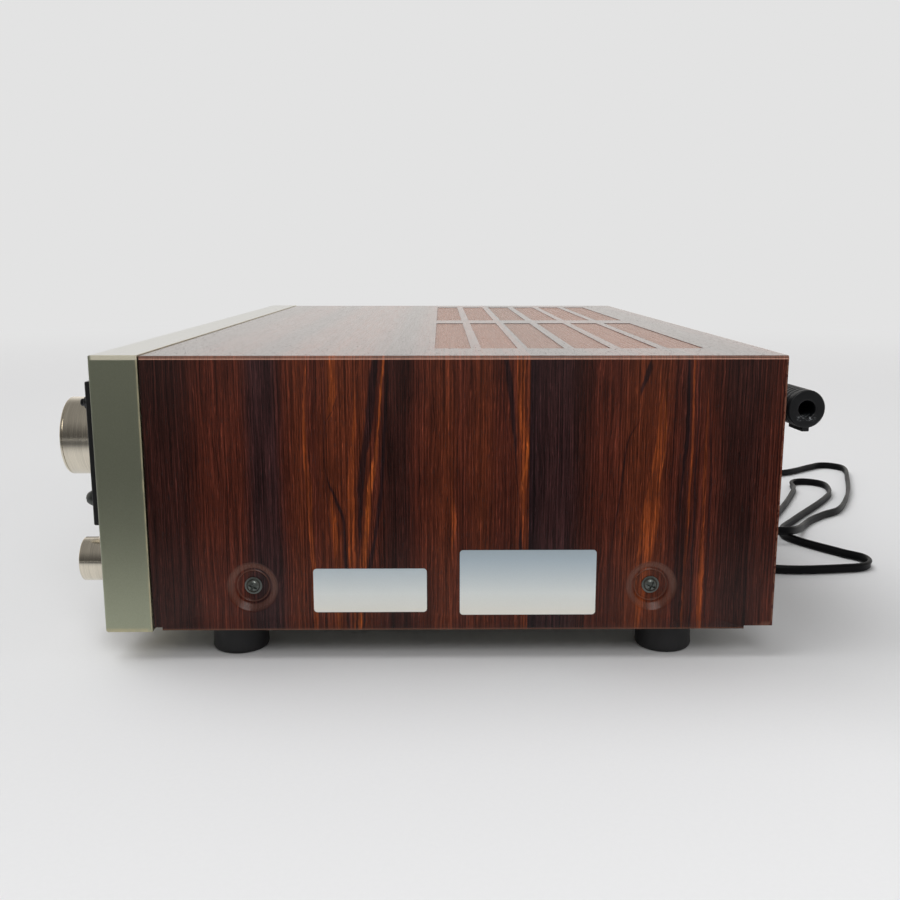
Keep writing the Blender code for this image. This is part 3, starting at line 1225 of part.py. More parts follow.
def make_outlet():
    """The switched mains outlet."""
    body, x, middle, face = connector("mains_outlet", OUTLET_SHARE, OUTLET_Z, OUTLET_WIDTH, OUTLET_HEIGHT,
                                      PLASTIC)
    slots = bmesh.new()
    for side in (-1, 1):
        px = x + side * OUTLET_SLOT_PITCH / 2
        box((px - OUTLET_SLOT_WIDTH / 2, face - OUTLET_SLOT_DEPTH, middle - OUTLET_SLOT_HEIGHT / 2),
            (px + OUTLET_SLOT_WIDTH / 2, face + OVERRUN, middle + OUTLET_SLOT_HEIGHT / 2), slots)
    cut(body, "outlet_slots", slots)


# Rod antenna

def antenna_pivot():
    """The swivel's axis, at the height of the rod."""
    x = HALF_COVER - ANTENNA_NEAR_FROM_SIDE - ANTENNA_LENGTH * math.cos(ANTENNA_REST_ANGLE)
    return Vector((x, FRONT + ANTENNA_PIVOT_SETBACK, COVER_TOP - ANTENNA_FROM_TOP))


def make_antenna():
    """The ribbed rod, hollow at its free end, with a tongue that turns on the swivel's pin."""
    pivot = antenna_pivot()
    start = BRACKET_WIDTH / 2 + RUNNING_GAP
    profile = [(ANTENNA_RADIUS - ANTENNA_RIB_DEPTH, start), (ANTENNA_RADIUS, start + ANTENNA_RIB_DEPTH),
               (ANTENNA_RADIUS, ANTENNA_COLLAR)]
    ribs = int((ANTENNA_LENGTH - ANTENNA_COLLAR - ANTENNA_RIB_PITCH) / ANTENNA_RIB_PITCH)
    for rib in range(ribs):
        base = ANTENNA_COLLAR + ANTENNA_RIB_PITCH * rib
        profile += [(ANTENNA_RADIUS - ANTENNA_RIB_DEPTH, base + ANTENNA_RIB_PITCH / 3),
                    (ANTENNA_RADIUS, base + ANTENNA_RIB_PITCH)]
    profile += [(ANTENNA_RADIUS, ANTENNA_LENGTH), (ANTENNA_BORE, ANTENNA_LENGTH),
                (ANTENNA_BORE, ANTENNA_LENGTH - ANTENNA_BORE_DEPTH)]
    along = Vector((math.cos(ANTENNA_REST_ANGLE), math.sin(ANTENNA_REST_ANGLE), 0.0))
    rod = finish("antenna_rod", turned(profile, pivot, along, ANTENNA_STEPS), PLASTIC, pivot, smooth=True)
    turn = Matrix.Translation(pivot) @ Matrix.Rotation(ANTENNA_REST_ANGLE, 4, "Z")
    gap = BRACKET_EAR + RUNNING_GAP
    half = BRACKET_WIDTH / 2
    tongue = box((-half, -half + BRACKET_EAR, -ANTENNA_RADIUS + gap),
                 (start + OVERRUN, half - BRACKET_EAR, ANTENNA_RADIUS - gap))
    tongue.transform(turn)
    unite(rod, "antenna_tongue", tongue)
    tab = box((ANTENNA_LENGTH - ANTENNA_COLLAR, -ANTENNA_TAB_WIDTH / 2, -ANTENNA_RADIUS - ANTENNA_TAB_DROP),
              (ANTENNA_LENGTH - GAP, ANTENNA_TAB_WIDTH / 2, -ANTENNA_RADIUS + ANTENNA_RIB_DEPTH * 2))
    tab.transform(turn)
    unite(rod, "antenna_tab", tab)
    radius = PIVOT_PIN_RADIUS + GAP
    cut(rod, "pin_bore", turned([(radius, -ANTENNA_RADIUS - OVERRUN), (radius, ANTENNA_RADIUS + OVERRUN)],
                                pivot, (0.0, 0.0, 1.0), SHAFT_STEPS))


def make_bracket():
    """The swivel's bracket: a foot on the rear panel, two ears, and the pin between them."""
    pivot = antenna_pivot()
    half = BRACKET_WIDTH / 2
    low = pivot.z - ANTENNA_RADIUS
    high = pivot.z + ANTENNA_RADIUS
    face = REAR_OUTER + GAP
    foot = BRACKET_FOOT_WIDTH / 2
    plate = box((pivot.x - foot, face, low - BRACKET_EAR),
                (pivot.x + foot, face + BRACKET_FOOT, high + BRACKET_EAR))
    bracket = finish("antenna_bracket", plate, PLASTIC)
    ears = bmesh.new()
    pin_end = BRACKET_EAR / 2
    for bottom in (low, high - BRACKET_EAR):
        outline = [(pivot.x - half, face + BRACKET_FOOT / 2)]
        outline += list(reversed(arc((pivot.x, pivot.y), half, 0, 180, BORE_STEPS)))
        outline += [(pivot.x + half, face + BRACKET_FOOT / 2)]
        prism(outline, along_z, bottom, bottom + BRACKET_EAR, ears)
    unite(bracket, "bracket_ears", ears)
    pin = [(PIVOT_PIN_RADIUS, pin_end), (PIVOT_PIN_RADIUS, high - low - pin_end)]
    unite(bracket, "bracket_pin", turned(pin, (pivot.x, pivot.y, low), (0.0, 0.0, 1.0), SHAFT_STEPS))


# Mains cord. Its route is given behind the cover's rear edge, above the surface that the receiver
# stands on. It runs behind the rear panel, makes the loops that show at the far side, and ends at the coil.
CORD_ROUTE = (
    (-0.2146, 0.0166, 0.0350), (-0.2146, 0.0245, 0.0345), (-0.2120, 0.0370, 0.0255),
    (-0.2020, 0.0440, 0.0115), (-0.1850, 0.0455, 0.0036), (-0.1680, 0.0440, 0.0030),
    (-0.1200, 0.0390, 0.0030), (0.0500, 0.0230, 0.0030), (0.0980, 0.0245, 0.0030),
    (0.1195, 0.0430, 0.0030), (0.1180, 0.0940, 0.0030), (0.1115, 0.1060, 0.0030),
    (0.0985, 0.1085, 0.0030), (0.0875, 0.1000, 0.0030), (0.0540, 0.0790, 0.0030),
    (0.0340, 0.0780, 0.0030), (0.0080, 0.0950, 0.0030), (-0.0700, 0.1510, 0.0030),
    (-0.1030, 0.1620, 0.0030), (-0.1160, 0.1585, 0.0030), (-0.1210, 0.1465, 0.0030),
    (-0.1130, 0.1365, 0.0030), (-0.0920, 0.1315, 0.0030), (-0.0080, 0.0905, 0.0030),
    (0.0190, 0.0710, 0.0034), (0.0390, 0.0645, 0.0058), (0.0520, 0.0675, 0.0085),
    (0.0580, 0.0790, 0.0094), (0.0500, 0.0900, 0.0072), (0.0300, 0.0985, 0.0034),
    (-0.0040, 0.1170, 0.0030), (-0.0280, 0.1450, 0.0030), (-0.1700, 0.2035, 0.0030),
    (-0.1830, 0.2015, 0.0030), (-0.1885, 0.1900, 0.0030), (-0.1800, 0.1765, 0.0030),
    (-0.1580, 0.1480, 0.0030), (-0.1500, 0.1230, 0.0030))
TAIL_ROUTE = (
    (-0.1480, 0.0680, 0.0080), (-0.1370, 0.0580, 0.0046), (-0.1220, 0.0575, 0.0031),
    (-0.1070, 0.0660, 0.0034), (-0.0960, 0.0780, 0.0054), (-0.0860, 0.0860, 0.0078))
COIL_ENTRY = (-0.1500, 0.0900, 0.0030)
PLUG_REAR = (-0.0720, 0.0880, 0.0088)


def route_point(point):
    """A point of the cord's route in the part's frame."""
    return Vector((point[0], REAR + point[1], point[2]))


def smooth_route(points, steps):
    """Points along a smooth curve through the given ones."""
    tangents = []
    for index in range(len(points)):
        before = points[max(index - 1, 0)]
        after = points[min(index + 1, len(points) - 1)]
        tangents.append((after - before).normalized())
    result = []
    for index in range(len(points) - 1):
        here, there = points[index], points[index + 1]
        bend = math.sqrt(max(0.0, 1.0 + tangents[index].dot(tangents[index + 1])) / 2)
        reach = (there - here).length * 2 / (1 + bend)
        leave, arrive = tangents[index] * reach, tangents[index + 1] * reach
        for step in range(steps):
            t = step / steps
            result.append(here * (2 * t ** 3 - 3 * t ** 2 + 1) + leave * (t ** 3 - 2 * t ** 2 + t)
                          + there * (3 * t ** 2 - 2 * t ** 3) + arrive * (t ** 3 - t ** 2))
    result.append(points[-1])
    return result


def tube(name, points, sides, mat):
    """A round tube with closed ends along the given points."""
    data = bpy.data.curves.new(name, "CURVE")
    data.dimensions = "3D"
    data.bevel_depth = CORD_RADIUS
    data.bevel_resolution = sides
    data.use_fill_caps = True
    spline = data.splines.new("POLY")
    spline.points.add(len(points) - 1)
    for place, point in zip(spline.points, points):
        place.co = (*point, 1.0)
    data.materials.append(mat)
    obj = bpy.data.objects.new(name, data)
    bpy.context.collection.objects.link(obj)
    return obj


def coil_points(entry):
    """The coil: it winds in on the surface, climbs a layer, and winds out again on top of itself."""
    half = CORD_LOOPS / 2
    outer = COIL_RADIUS
    centre = entry - Vector((outer, 0.0, 0.0))
    stub = Vector((0.0, CORD_WIDTH, 0.0))
    count = int(CORD_LOOPS * COIL_POINTS)
    points = [entry + stub]
    for index in range(count + 1):
        turns = CORD_LOOPS * index / count
        inward = min(turns, half) - max(turns - half, 0.0)
        radius = outer - CORD_CLEAR * inward
        climb = min(max((turns - half) * 2 + 0.5, 0.0), 1.0)
        angle = -math.tau * turns
        offset = Vector((radius * math.cos(angle), radius * math.sin(angle), CORD_CLEAR * climb))
        points.append(centre + offset)
    points.append(points[-1] - stub)
    return points


def least_gap(points):
    """Least gap between stretches of a tube that lie half a turn or more apart along it."""
    least = math.inf
    apart = int(COIL_POINTS / 2)
    for index, point in enumerate(points):
        for other in points[index + apart:]:
            least = min(least, (point - other).length - CORD_WIDTH)
    return least


def make_cord():
    """The strain relief, the loose cord, its coil, the short tail and the plug."""
    exit_x = CORD_EXIT_SHARE * COVER_WIDTH
    exit_z = COVER_BOTTOM + CORD_EXIT_HEIGHT
    outer = REAR_OUTER + GAP
    profile = [(RELIEF_RADIUS, -STEEL - GAP - RELIEF_HEAD), (RELIEF_RADIUS, 0.0), (RELIEF_HEAD_RADIUS, 0.0),
               (RELIEF_HEAD_RADIUS, RELIEF_HEAD), (RELIEF_RADIUS, RELIEF_HEAD),
               (RELIEF_TIP_RADIUS, RELIEF_LENGTH)]
    shape = turned(profile, (exit_x, outer, exit_z), (0.0, 1.0, 0.0), SHAFT_STEPS)
    finish("strain_relief", shape, RUBBER, (exit_x, outer, exit_z), smooth=True)
    entry = route_point(COIL_ENTRY)
    coil = coil_points(entry)
    along = Vector((0.0, CORD_WIDTH, 0.0))
    seat = Vector((0.0, GAP, 0.0))
    free = [route_point(point) for point in CORD_ROUTE]
    free += [coil[0] + seat + along, coil[0] + seat]
    tube("mains_cord", smooth_route(free, ROUTE_STEPS), CORD_SIDES, CORD)
    tube("cord_coil", coil, COIL_SIDES, CORD)
    plug = route_point(PLUG_REAR)
    neck = Vector((CORD_WIDTH, 0.0, 0.0))
    end = plug - Vector((GAP, 0.0, 0.0))
    tail = [coil[-1] - seat, coil[-1] - seat - along] + [route_point(point) for point in TAIL_ROUTE]
    tail += [end - neck, end]
    tube("cord_tail", smooth_route(tail, ROUTE_STEPS), CORD_SIDES, CORD)
    print("least gap of the coil to itself in mm:", round(least_gap(coil) * 1000, 2))
    make_plug(plug)


def make_plug(rear):
    """The two-blade plug, lying flat, with a tapered neck for the cord."""
    half = PLUG_WIDTH / 2
    slim = CORD_WIDTH * PLUG_NECK_SHARE
    outline = [(0.0, -slim), (PLUG_NECK, -half), (PLUG_NECK + PLUG_LENGTH, -half),
               (PLUG_NECK + PLUG_LENGTH, half), (PLUG_NECK, half), (0.0, slim)]
    thick = PLUG_THICKNESS / 2
    shape = prism(outline, along_z, -thick, thick)
    shape.transform(Matrix.Translation(rear))
    bevel_ring(shape, lambda co: True, PLUG_BEVEL, 2)
    plug = finish("mains_plug", shape, RUBBER, rear)
    blades = bmesh.new()
    face = rear.x + PLUG_NECK + PLUG_LENGTH
    for side in (-1, 1):
        middle = rear.y + side * BLADE_SPACING / 2
        box((face - BLADE_WIDTH, middle - BLADE_THICKNESS / 2, rear.z - BLADE_WIDTH / 2),
            (face + BLADE_LENGTH, middle + BLADE_THICKNESS / 2, rear.z + BLADE_WIDTH / 2), blades)
    unite(plug, "plug_blades", blades)


def build():
    """Clears the scene and makes every piece."""
    make_cover()
    make_cover_screws()
    make_feet()
    make_pan()
    make_rear_panel()
    make_sub_panel()
    make_front_panel()
    make_dial_plate()
    make_tuning_knob()
    make_drum()
    make_gang()
    make_idlers()
    make_scale()
    make_pointer()
    make_meter("signal_meter", "signal_needle", METER_LEFT, SIGNAL_REST_ANGLE)
    make_meter("tuning_meter", "tuning_needle", SECOND_METER_LEFT, 0.0)
    for name, x in knob_places():
        if name == "volume_knob":
            make_row_knob(name, x, VOLUME_KNOB_RADIUS, VOLUME_KNOB_LENGTH)
        else:
            make_row_knob(name, x, SMALL_KNOB_RADIUS, SMALL_KNOB_LENGTH)
    make_controls()
    make_buttons()
    make_power_button()
    make_headphone_socket()
    make_transformer()
    make_heat_sink()
    make_amplifier_board()
    make_jacks()
    make_speaker_terminals()
    make_aerial_terminals()
    make_outlet()
    make_bracket()
    make_antenna()
    make_cord()


for leftover in list(bpy.data.objects):
    bpy.data.objects.remove(leftover)
build()
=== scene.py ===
"""Looks of the stereo receiver: surfaces, fine edges, small trim, mains cord, floor, light and camera.

Metres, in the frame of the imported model. The front faces -Y and the photographed side faces +X.
"""

import json
import math

import bmesh
import bpy
from mathutils import Matrix, Vector

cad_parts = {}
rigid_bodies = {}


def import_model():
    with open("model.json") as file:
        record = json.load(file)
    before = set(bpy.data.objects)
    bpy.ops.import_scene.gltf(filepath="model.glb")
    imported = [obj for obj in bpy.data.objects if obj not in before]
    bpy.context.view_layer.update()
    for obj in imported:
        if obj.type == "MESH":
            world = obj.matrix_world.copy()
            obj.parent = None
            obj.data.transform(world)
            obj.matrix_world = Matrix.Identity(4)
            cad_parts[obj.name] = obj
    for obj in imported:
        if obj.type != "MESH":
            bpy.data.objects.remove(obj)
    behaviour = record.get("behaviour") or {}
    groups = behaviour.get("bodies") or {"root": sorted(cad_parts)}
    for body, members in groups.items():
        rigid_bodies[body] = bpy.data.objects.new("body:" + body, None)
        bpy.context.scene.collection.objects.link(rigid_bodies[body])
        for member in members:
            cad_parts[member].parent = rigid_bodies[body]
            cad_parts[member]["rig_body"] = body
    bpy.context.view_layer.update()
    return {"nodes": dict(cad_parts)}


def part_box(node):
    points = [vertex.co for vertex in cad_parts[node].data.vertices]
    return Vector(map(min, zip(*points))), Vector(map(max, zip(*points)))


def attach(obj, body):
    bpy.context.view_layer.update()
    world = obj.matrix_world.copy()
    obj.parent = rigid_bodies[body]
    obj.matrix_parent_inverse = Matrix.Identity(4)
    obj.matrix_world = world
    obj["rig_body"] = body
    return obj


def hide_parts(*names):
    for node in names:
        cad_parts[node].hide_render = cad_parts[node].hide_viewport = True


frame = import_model()
NODES = frame["nodes"]


def extent(name):
    """Lowest corner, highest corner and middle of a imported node."""
    low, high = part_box(name)
    return low, high, (low + high) / 2


# Sizes and places read from the frame
COVER_LOW, COVER_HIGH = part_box("top_cover")
HALF_COVER = COVER_HIGH.x
FRONT = COVER_LOW.y
REAR = COVER_HIGH.y
COVER_BOTTOM = COVER_LOW.z
COVER_TOP = COVER_HIGH.z
COVER_DEPTH = REAR - FRONT
PANEL_LOW, PANEL_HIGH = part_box("front_panel")
PLATE_LOW, PLATE_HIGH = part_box("dial_plate")

# Shared values
WELD = 0.000001
SHARP_ANGLE = math.radians(35)
MM = 0.001
THIN_EDGE = 0.0002
FINE_EDGE = 0.0003
TONGUE_EDGE = 0.0004
BROAD_EDGE = 0.0005
PLUG_EDGE = 0.0006
PIN_HOLE = 0.0002
TO_FRONT = (0.0, -1.0, 0.0)
TO_REAR = (0.0, 1.0, 0.0)

# Cover
COVER_WALL = 0.0014
COVER_FOLD_RADIUS = 0.0014
FOLD_HIGHLIGHT_BAND = 0.003
SHEET_FRONT = FRONT + 0.0001
FOLD_STEPS = 8
HEM_WIDTH = 0.004
HEM_THICKNESS = 0.0015
HEM_FRONT_NOTCH = 0.004
HEM_REAR_NOTCH = 0.0135
DISH_DEPTH = 0.003
SCREW_HOLE_RADIUS = 0.0022
DISH_PROFILE = (
    (0.0124, 0.0), (0.012, 0.0001), (0.0115, 0.0004), (0.0107, 0.001), (0.0098, 0.0016), (0.009, 0.0021),
    (0.0084, 0.0024), (0.008, 0.0025), (0.0077, 0.0023), (0.0074, 0.0024), (0.0071, 0.0028),
    (0.0068, DISH_DEPTH), (SCREW_HOLE_RADIUS, DISH_DEPTH))
DISH_MIDDLE = COVER_BOTTOM + 0.0212
DISH_PLACES = (FRONT + 0.0473, REAR - 0.0583)
DISH_STEPS = 72
VENT_COUNT = 6
VENT_FROM_REAR = 0.1605
VENT_PITCH = 0.0228
VENT_WIDTH = 0.0178
VENT_SIDE_MARGIN = 0.038
VENT_MIDDLE_BAR = 0.034
VENT_RECESS = 0.0003
VENT_SLOT_PITCH = 0.002
VENT_SLOT_WIDTH = 0.0003
VENT_BAR_OVERLAP = 0.0005

# Labels on the photographed side: front and rear edge, bottom and top
LABELS = (
    ("label_front", -0.0634, -0.0101, 0.0239, 0.0452),
    ("label_rear", 0.0054, 0.0695, 0.0224, 0.0541))
LABEL_THICKNESS = 0.0002
LABEL_CORNER = 0.0016

# Bolts of the black plate; nut and stud as shares of the radius and the reach
BOLT_RADIUS = 0.00325
BOLT_REACH = 0.005
BOLT_FROM_END = 0.0085
BOLT_FROM_EDGE = 0.0106
NUT = ((1.0, 0.0), (1.0, 0.45), (0.86, 0.6))
STUD = ((0.55, 0.5), (0.55, 0.9), (0.4, 1.0))
DOME_FROM_EDGE = 0.0112
DOME_RADIUS = 0.0037
DOME_REACH = 0.0054

# Screw heads, as shares of their radius and height
HEAD_STEPS = 64
HEAD_RINGS = 18
HEAD_CROWN = 0.55
CROSS_HALF = 0.145
CROSS_REACH = 0.62
CROSS_DEPTH = 0.62
CROSS_TURN = math.radians(24)

# Knobs and print on the front; each scale has its sweep to a side, its ticks and whether it has numbers
KNOB_CLEARANCE = 0.001
CONTROL_SHAFT = 0.003
TUNING_BORE = 0.0033
KNOB_FILLET = 0.0006
KNOB_RIM = 0.003
KNOB_DISH = 0.001
KNOB_GROOVE = 0.0002
KNOB_GROOVE_PLACE = 0.0013
INDEX_WIDTH = 0.0011
INDEX_LENGTH = 0.0065
INDEX_START = 0.35
PRINT = 0.00006
PRINT_LINE = 0.0004
KNOB_SCALES = (
    ("speaker_knob", 60, 4, False), ("bass_knob", 150, 11, False), ("treble_knob", 150, 11, False),
    ("balance_knob", 150, 11, False), ("volume_knob", 150, 11, True), ("source_knob", 75, 5, False))
SCALE_START = 0.0018
SCALE_TICK = 0.002
SCALE_LINE = 0.0005
NUMBER_SIZE = 0.0026
DIGIT_SHARE = 0.7
SHORT_TICK = 0.0018

# Rows of the dial: height, ticks, numbers and whether they stand above or below the line
DIAL_MIDDLE = 0.003
DIAL_HALF = 0.11
DIAL_ROWS = (
    (0.108, 50, range(88, 110, 2), 1), (0.0962, 50, range(11), 1),
    (0.0885, 50, (53, 60, 70, 80, 100, 120, 140, 160), -1))
DIAL_LINE = 0.00035
DIAL_LONG_TICK = 0.0032
DIAL_NUMBER_PLACE = 0.0064
DIAL_NUMBER_SIZE = 0.0036

# Meters: numbered or not, degrees to each side, and the red zone as shares of them
METERS = (("signal_meter", True, 35, 0.45, 1.0), ("tuning_meter", False, 30, -0.12, 0.12))
METER_RECESS = 0.006
METER_WALL = 0.0015
METER_ARC = 0.0275
METER_TICKS = 10
METER_LONG_TICK = 0.003
METER_NUMBER_PLACE = 0.0052
NEEDLE_PIVOT_HEIGHT = 0.0075
ZONE_INNER = 0.0016
ZONE_OUTER = 0.0006
ARC_STEPS = 40

# Feet, cover screws and antenna
FOOT_BORE = ((0.0015, 0.005), (0.006, 0.005), (0.006, 0.0))
FOOT_FILLET = 0.0022
FOOT_TAPER = 0.0008
SCREW_WASHER = 0.0009
SCREW_EASE = 0.0002
SCREW_SHANK = SCREW_HOLE_RADIUS * 0.8
RUNNING_GAP = 0.0004
ANTENNA_ANGLE = math.radians(5)
ANTENNA_LENGTH = 0.165
ANTENNA_RADIUS = 0.0098
TONGUE_HALF = 0.0062
ANTENNA_COLLAR = 0.016
ANTENNA_BORE = 0.0044
ANTENNA_BORE_DEPTH = 0.018
ANTENNA_END_PLACE = 0.1825
END_FILLET = 0.0008
BORE_FILLET = 0.0006
RIB_PITCH = 0.0035
RIB_DEPTH = 0.001
RIB_SHAPE = (
    (0.1, 0.6), (0.2, 1.0), (0.34, 1.0), (0.44, 0.6), (0.54, 0.12), (0.68, 0.0), (0.86, 0.0), (1.0, 0.12))
TAB_WIDTH = 0.004
TAB_DROP = 0.0018
TAB_SHORT = 0.0003
BRACKET_HALF = 0.007
BRACKET_EAR = 0.0025

# Rear connectors
JACK_COLUMNS = 6
JACK_WIDTH = 0.104
JACK_ROW = 0.0085
JACK_LENGTH = 0.008
JACK_SLEEVE = (
    (0.0041, 0.0), (0.0044, 0.0), (0.0044, JACK_LENGTH + 0.0001), (0.0036, JACK_LENGTH + 0.0001),
    (0.0036, JACK_LENGTH - 0.0004), (0.0041, JACK_LENGTH - 0.0004))
JACK_INSULATOR = (
    (0.0037, JACK_LENGTH - 0.0003), (0.0037, JACK_LENGTH - 0.00005), (0.0018, JACK_LENGTH + 0.0002),
    (0.0018, JACK_LENGTH - 0.0003))
SPEAKER_KEYS = 8
SPEAKER_WIDTH = 0.082
KEY_HALF = 0.0031
KEY_DEPTH = 0.003
KEY_HEIGHT = 0.0091
KEY_FILM = 0.0001
KEY_PROUD = 0.0002
AERIAL_SCREWS = 4
AERIAL_WIDTH = 0.064
AERIAL_SEAT = 0.003
AERIAL_HEAD = 0.0034
AERIAL_HEAD_RADIUS = 0.0032
RELIEF_LENGTH = 0.022
RELIEF_RADIUS = 0.0062
RELIEF_TIP = 0.0044
RELIEF_NECK = 0.005
RELIEF_HEAD_RADIUS = 0.0085
RELIEF_HEAD = 0.0025
RELIEF_GROOVES = 5
RELIEF_GROOVE = 0.0008

# Mains cord
CORD_WIDTH = 0.0056
CORD_THICKNESS = 0.0029
CORD_WEB = 0.0021
CORD_REST = 3.0
CORD_LOOPS = 3.0
CORD_SPACING = 0.0006
CORD_CLEAR = CORD_WIDTH + CORD_SPACING
CORD_TILT = math.radians(9)
CORD_TILT_LENGTH = 0.055
COIL_RADIUS = 0.036
COIL_POINTS = 36
ROUTE_STEPS = 6
LOBE_ANGLES = (-78, -50, -20, 20, 50, 78)
BLADE_REACH = 0.0165
BLADE_HALF_HEIGHT = 0.00315
BLADE_HALF_THICKNESS = 0.00075
BLADE_SPACING = 0.0127
BLADE_FILM = 0.00004

# Floor, light and camera
FLOOR_RADIUS = 2.6
BACKDROP_CURVE = 1.2
BACKDROP_HEIGHT = 3.5
STAGE_STEPS = 128
FLOOR_TONE = (229, 230, 232)
BACKDROP_TONE = (227, 227, 227)
WORLD_TONE = (255, 252, 248)
WORLD_BEHIND = 1.0
WORLD_OVERHEAD = 0.28
WORLD_AHEAD = 0.09
OVERHEAD_PLACE = Vector((-0.2, -0.9, 1.9))
OVERHEAD_SPREAD = math.radians(55)
OVERHEAD_STRENGTH = 1.72
LAMP_PLACE = Vector((0.95, 0.12, 0.75))
LAMP_SIZE = 0.48
LAMP_POWER = 2.4
CAMERA_PLACE = Vector((0.69532, -0.00318, 0.1873))
CAMERA_YAW = math.radians(-0.511)
CAMERA_PITCH = math.radians(10.856)
CAMERA_LENS = 39.6
CAMERA_SENSOR = 36.0


# Colours and shader nodes

def paint(red, green, blue):
    """A colour given as the usual 0 to 255, turned to the linear values that shaders take."""
    shares = [value / 255 for value in (red, green, blue)]
    return tuple(share / 12.92 if share <= 0.04045 else ((share + 0.055) / 1.055) ** 2.4 for share in shares)


class Field:
    """A number or colour that varies over a surface: a shader node's output, with the usual arithmetic."""

    def __init__(self, nodes, socket):
        self.nodes = nodes
        self.socket = socket

    def __add__(self, other):
        return self.nodes.math("ADD", self, other)

    def __sub__(self, other):
        return self.nodes.math("SUBTRACT", self, other)

    def __rsub__(self, other):
        return self.nodes.math("SUBTRACT", other, self)

    def __mul__(self, other):
        return self.nodes.math("MULTIPLY", self, other)

    def __truediv__(self, other):
        return self.nodes.math("DIVIDE", self, other)

    def __gt__(self, other):
        return self.nodes.math("GREATER_THAN", self, other)

    def __abs__(self):
        return self.nodes.math("ABSOLUTE", self)

    def span(self, low, high, to_low=0.0, to_high=1.0, smooth=False):
        """Maps low..high to to_low..to_high and holds the ends."""
        inputs = {"Value": self, "From Min": low, "From Max": high, "To Min": to_low, "To Max": to_high}
        return self.nodes.add("MapRange", inputs, interpolation_type="SMOOTHSTEP" if smooth else "LINEAR")

    def ramp(self, stops):
        """A colour ramp from (position, colour) stops."""
        node = self.nodes.node("ValToRGB", {"Fac": self})
        elements = node.color_ramp.elements
        elements.remove(elements[-1])
        for index, (position, colour) in enumerate(stops):
            element = elements.new(position) if index else elements[0]
            element.position = position
            element.color = (*paint(*colour), 1.0)
        return Field(self.nodes, node.outputs["Color"])

    def curve(self, points):
        """A smooth curve through (share, value) points."""
        node = self.nodes.node("FloatCurve", {"Value": self})
        line = node.mapping.curves[0]
        while len(line.points) < len(points):
            line.points.new(0.5, 0.5)
        for point, place in zip(line.points, points):
            point.location = place
            point.handle_type = "AUTO_CLAMPED"
        node.mapping.update()
        return Field(self.nodes, node.outputs[0])


class Nodes:
    """A node tree, with short calls that add to it. A colour is given as red, green and blue, 0 to 255."""

    def __init__(self, tree):
        self.tree = tree

    def join(self, socket, value):
        """Links a socket to a field, or gives it a value."""
        if isinstance(value, Field):
            self.tree.links.new(value.socket, socket)
        elif socket.type == "RGBA":
            socket.default_value = (*paint(*value), 1.0)
        else:
            socket.default_value = value

    def node(self, kind, inputs, **settings):
        """Adds a node; inputs are given by name or number."""
        node = self.tree.nodes.new("ShaderNode" + kind)
        for key, value in settings.items():
            setattr(node, key, value)
        for key, value in inputs.items():
            self.join(node.inputs[key], value)
        return node

    def add(self, kind, inputs=None, output=0, **settings):
        """Adds a node and gives one of its outputs."""
        return Field(self, self.node(kind, inputs or {}, **settings).outputs[output])

    def math(self, operation, first, second=0.0):
        return self.add("Math", {0: first, 1: second}, operation=operation)

    def mix(self, factor, first, second, blend="MIX"):
        return self.add("Mix", {0: factor, 6: first, 7: second}, 2, data_type="RGBA", blend_type=blend)

    def parts(self, place):
        """The X, Y and Z of a place."""
        return [Field(self, output) for output in self.node("SeparateXYZ", {0: place}).outputs]


class Surface(Nodes):
    """A material and its shader."""

    def __init__(self, name, colour, roughness, metallic=0.0, **sockets):
        self.material = bpy.data.materials.new(name)
        self.material.use_nodes = True
        super().__init__(self.material.node_tree)
        self.shader = self.tree.nodes["Principled BSDF"]
        self.set(Base_Color=colour, Roughness=roughness, Metallic=metallic, **sockets)
        self.place = self.add("TexCoord", output="Object")

    def set(self, **sockets):
        """Sets or links sockets of the shader."""
        for socket, value in sockets.items():
            self.join(self.shader.inputs[socket.replace("_", " ")], value)

    def noise(self, vector, detail=2.0, roughness=0.5):
        inputs = {"Vector": vector, "Scale": 1.0, "Detail": detail, "Roughness": roughness}
        return self.add("TexNoise", inputs)

    def texture(self, size, detail=2.0, roughness=0.5):
        """Noise with one feature size, or one for each axis."""
        sizes = size if isinstance(size, tuple) else (size, size, size)
        factors = tuple(1 / length for length in sizes)
        place = self.add("VectorMath", {0: self.place, 1: factors}, operation="MULTIPLY")
        return self.noise(place, detail, roughness)

    def shaded(self, colour, factor):
        """A colour made lighter or darker by a factor."""
        colour = colour if isinstance(colour, Field) else paint(*colour)
        return self.add("VectorMath", {0: colour, "Scale": factor}, operation="SCALE")

    def bump(self, height, depth):
        """A bump whose full height is the given depth in metres."""
        self.set(Normal=self.add("Bump", {"Height": height, "Distance": depth, "Strength": 1.0}))


# Rosewood vinyl

DARK = (44, 20, 16)
PLUM = (46, 25, 25)
BROWN = (68, 29, 19)
RUSSET = (78, 34, 18)
AMBER = (134, 62, 23)
GLOW = (168, 82, 30)
BLACKISH = (27, 15, 17)

# Bands of the grain, as (millimetres behind the cover's front edge, tone), before and after the seam
SEAM_PLACE = 0.1768
BANDS_BEFORE_SEAM = (
    (0, DARK), (17, DARK), (27, BROWN), (44, BROWN), (50, PLUM), (60, PLUM), (65, BROWN), (71, RUSSET),
    (78, BROWN), (84, RUSSET), (100, RUSSET), (106, BROWN), (112, DARK), (120, DARK), (126, BROWN),
    (139, RUSSET), (146, BROWN), (155, RUSSET), (163, BROWN), (168, BROWN), (173, RUSSET))
BANDS_AFTER_SEAM = (
    (176, BLACKISH), (184, PLUM), (194, PLUM), (200, DARK), (209, BROWN), (216, BROWN), (225, RUSSET),
    (238, RUSSET), (243, BROWN), (248, DARK), (252, BROWN), (260, BROWN), (268, DARK), (280, DARK),
    (294, BROWN))

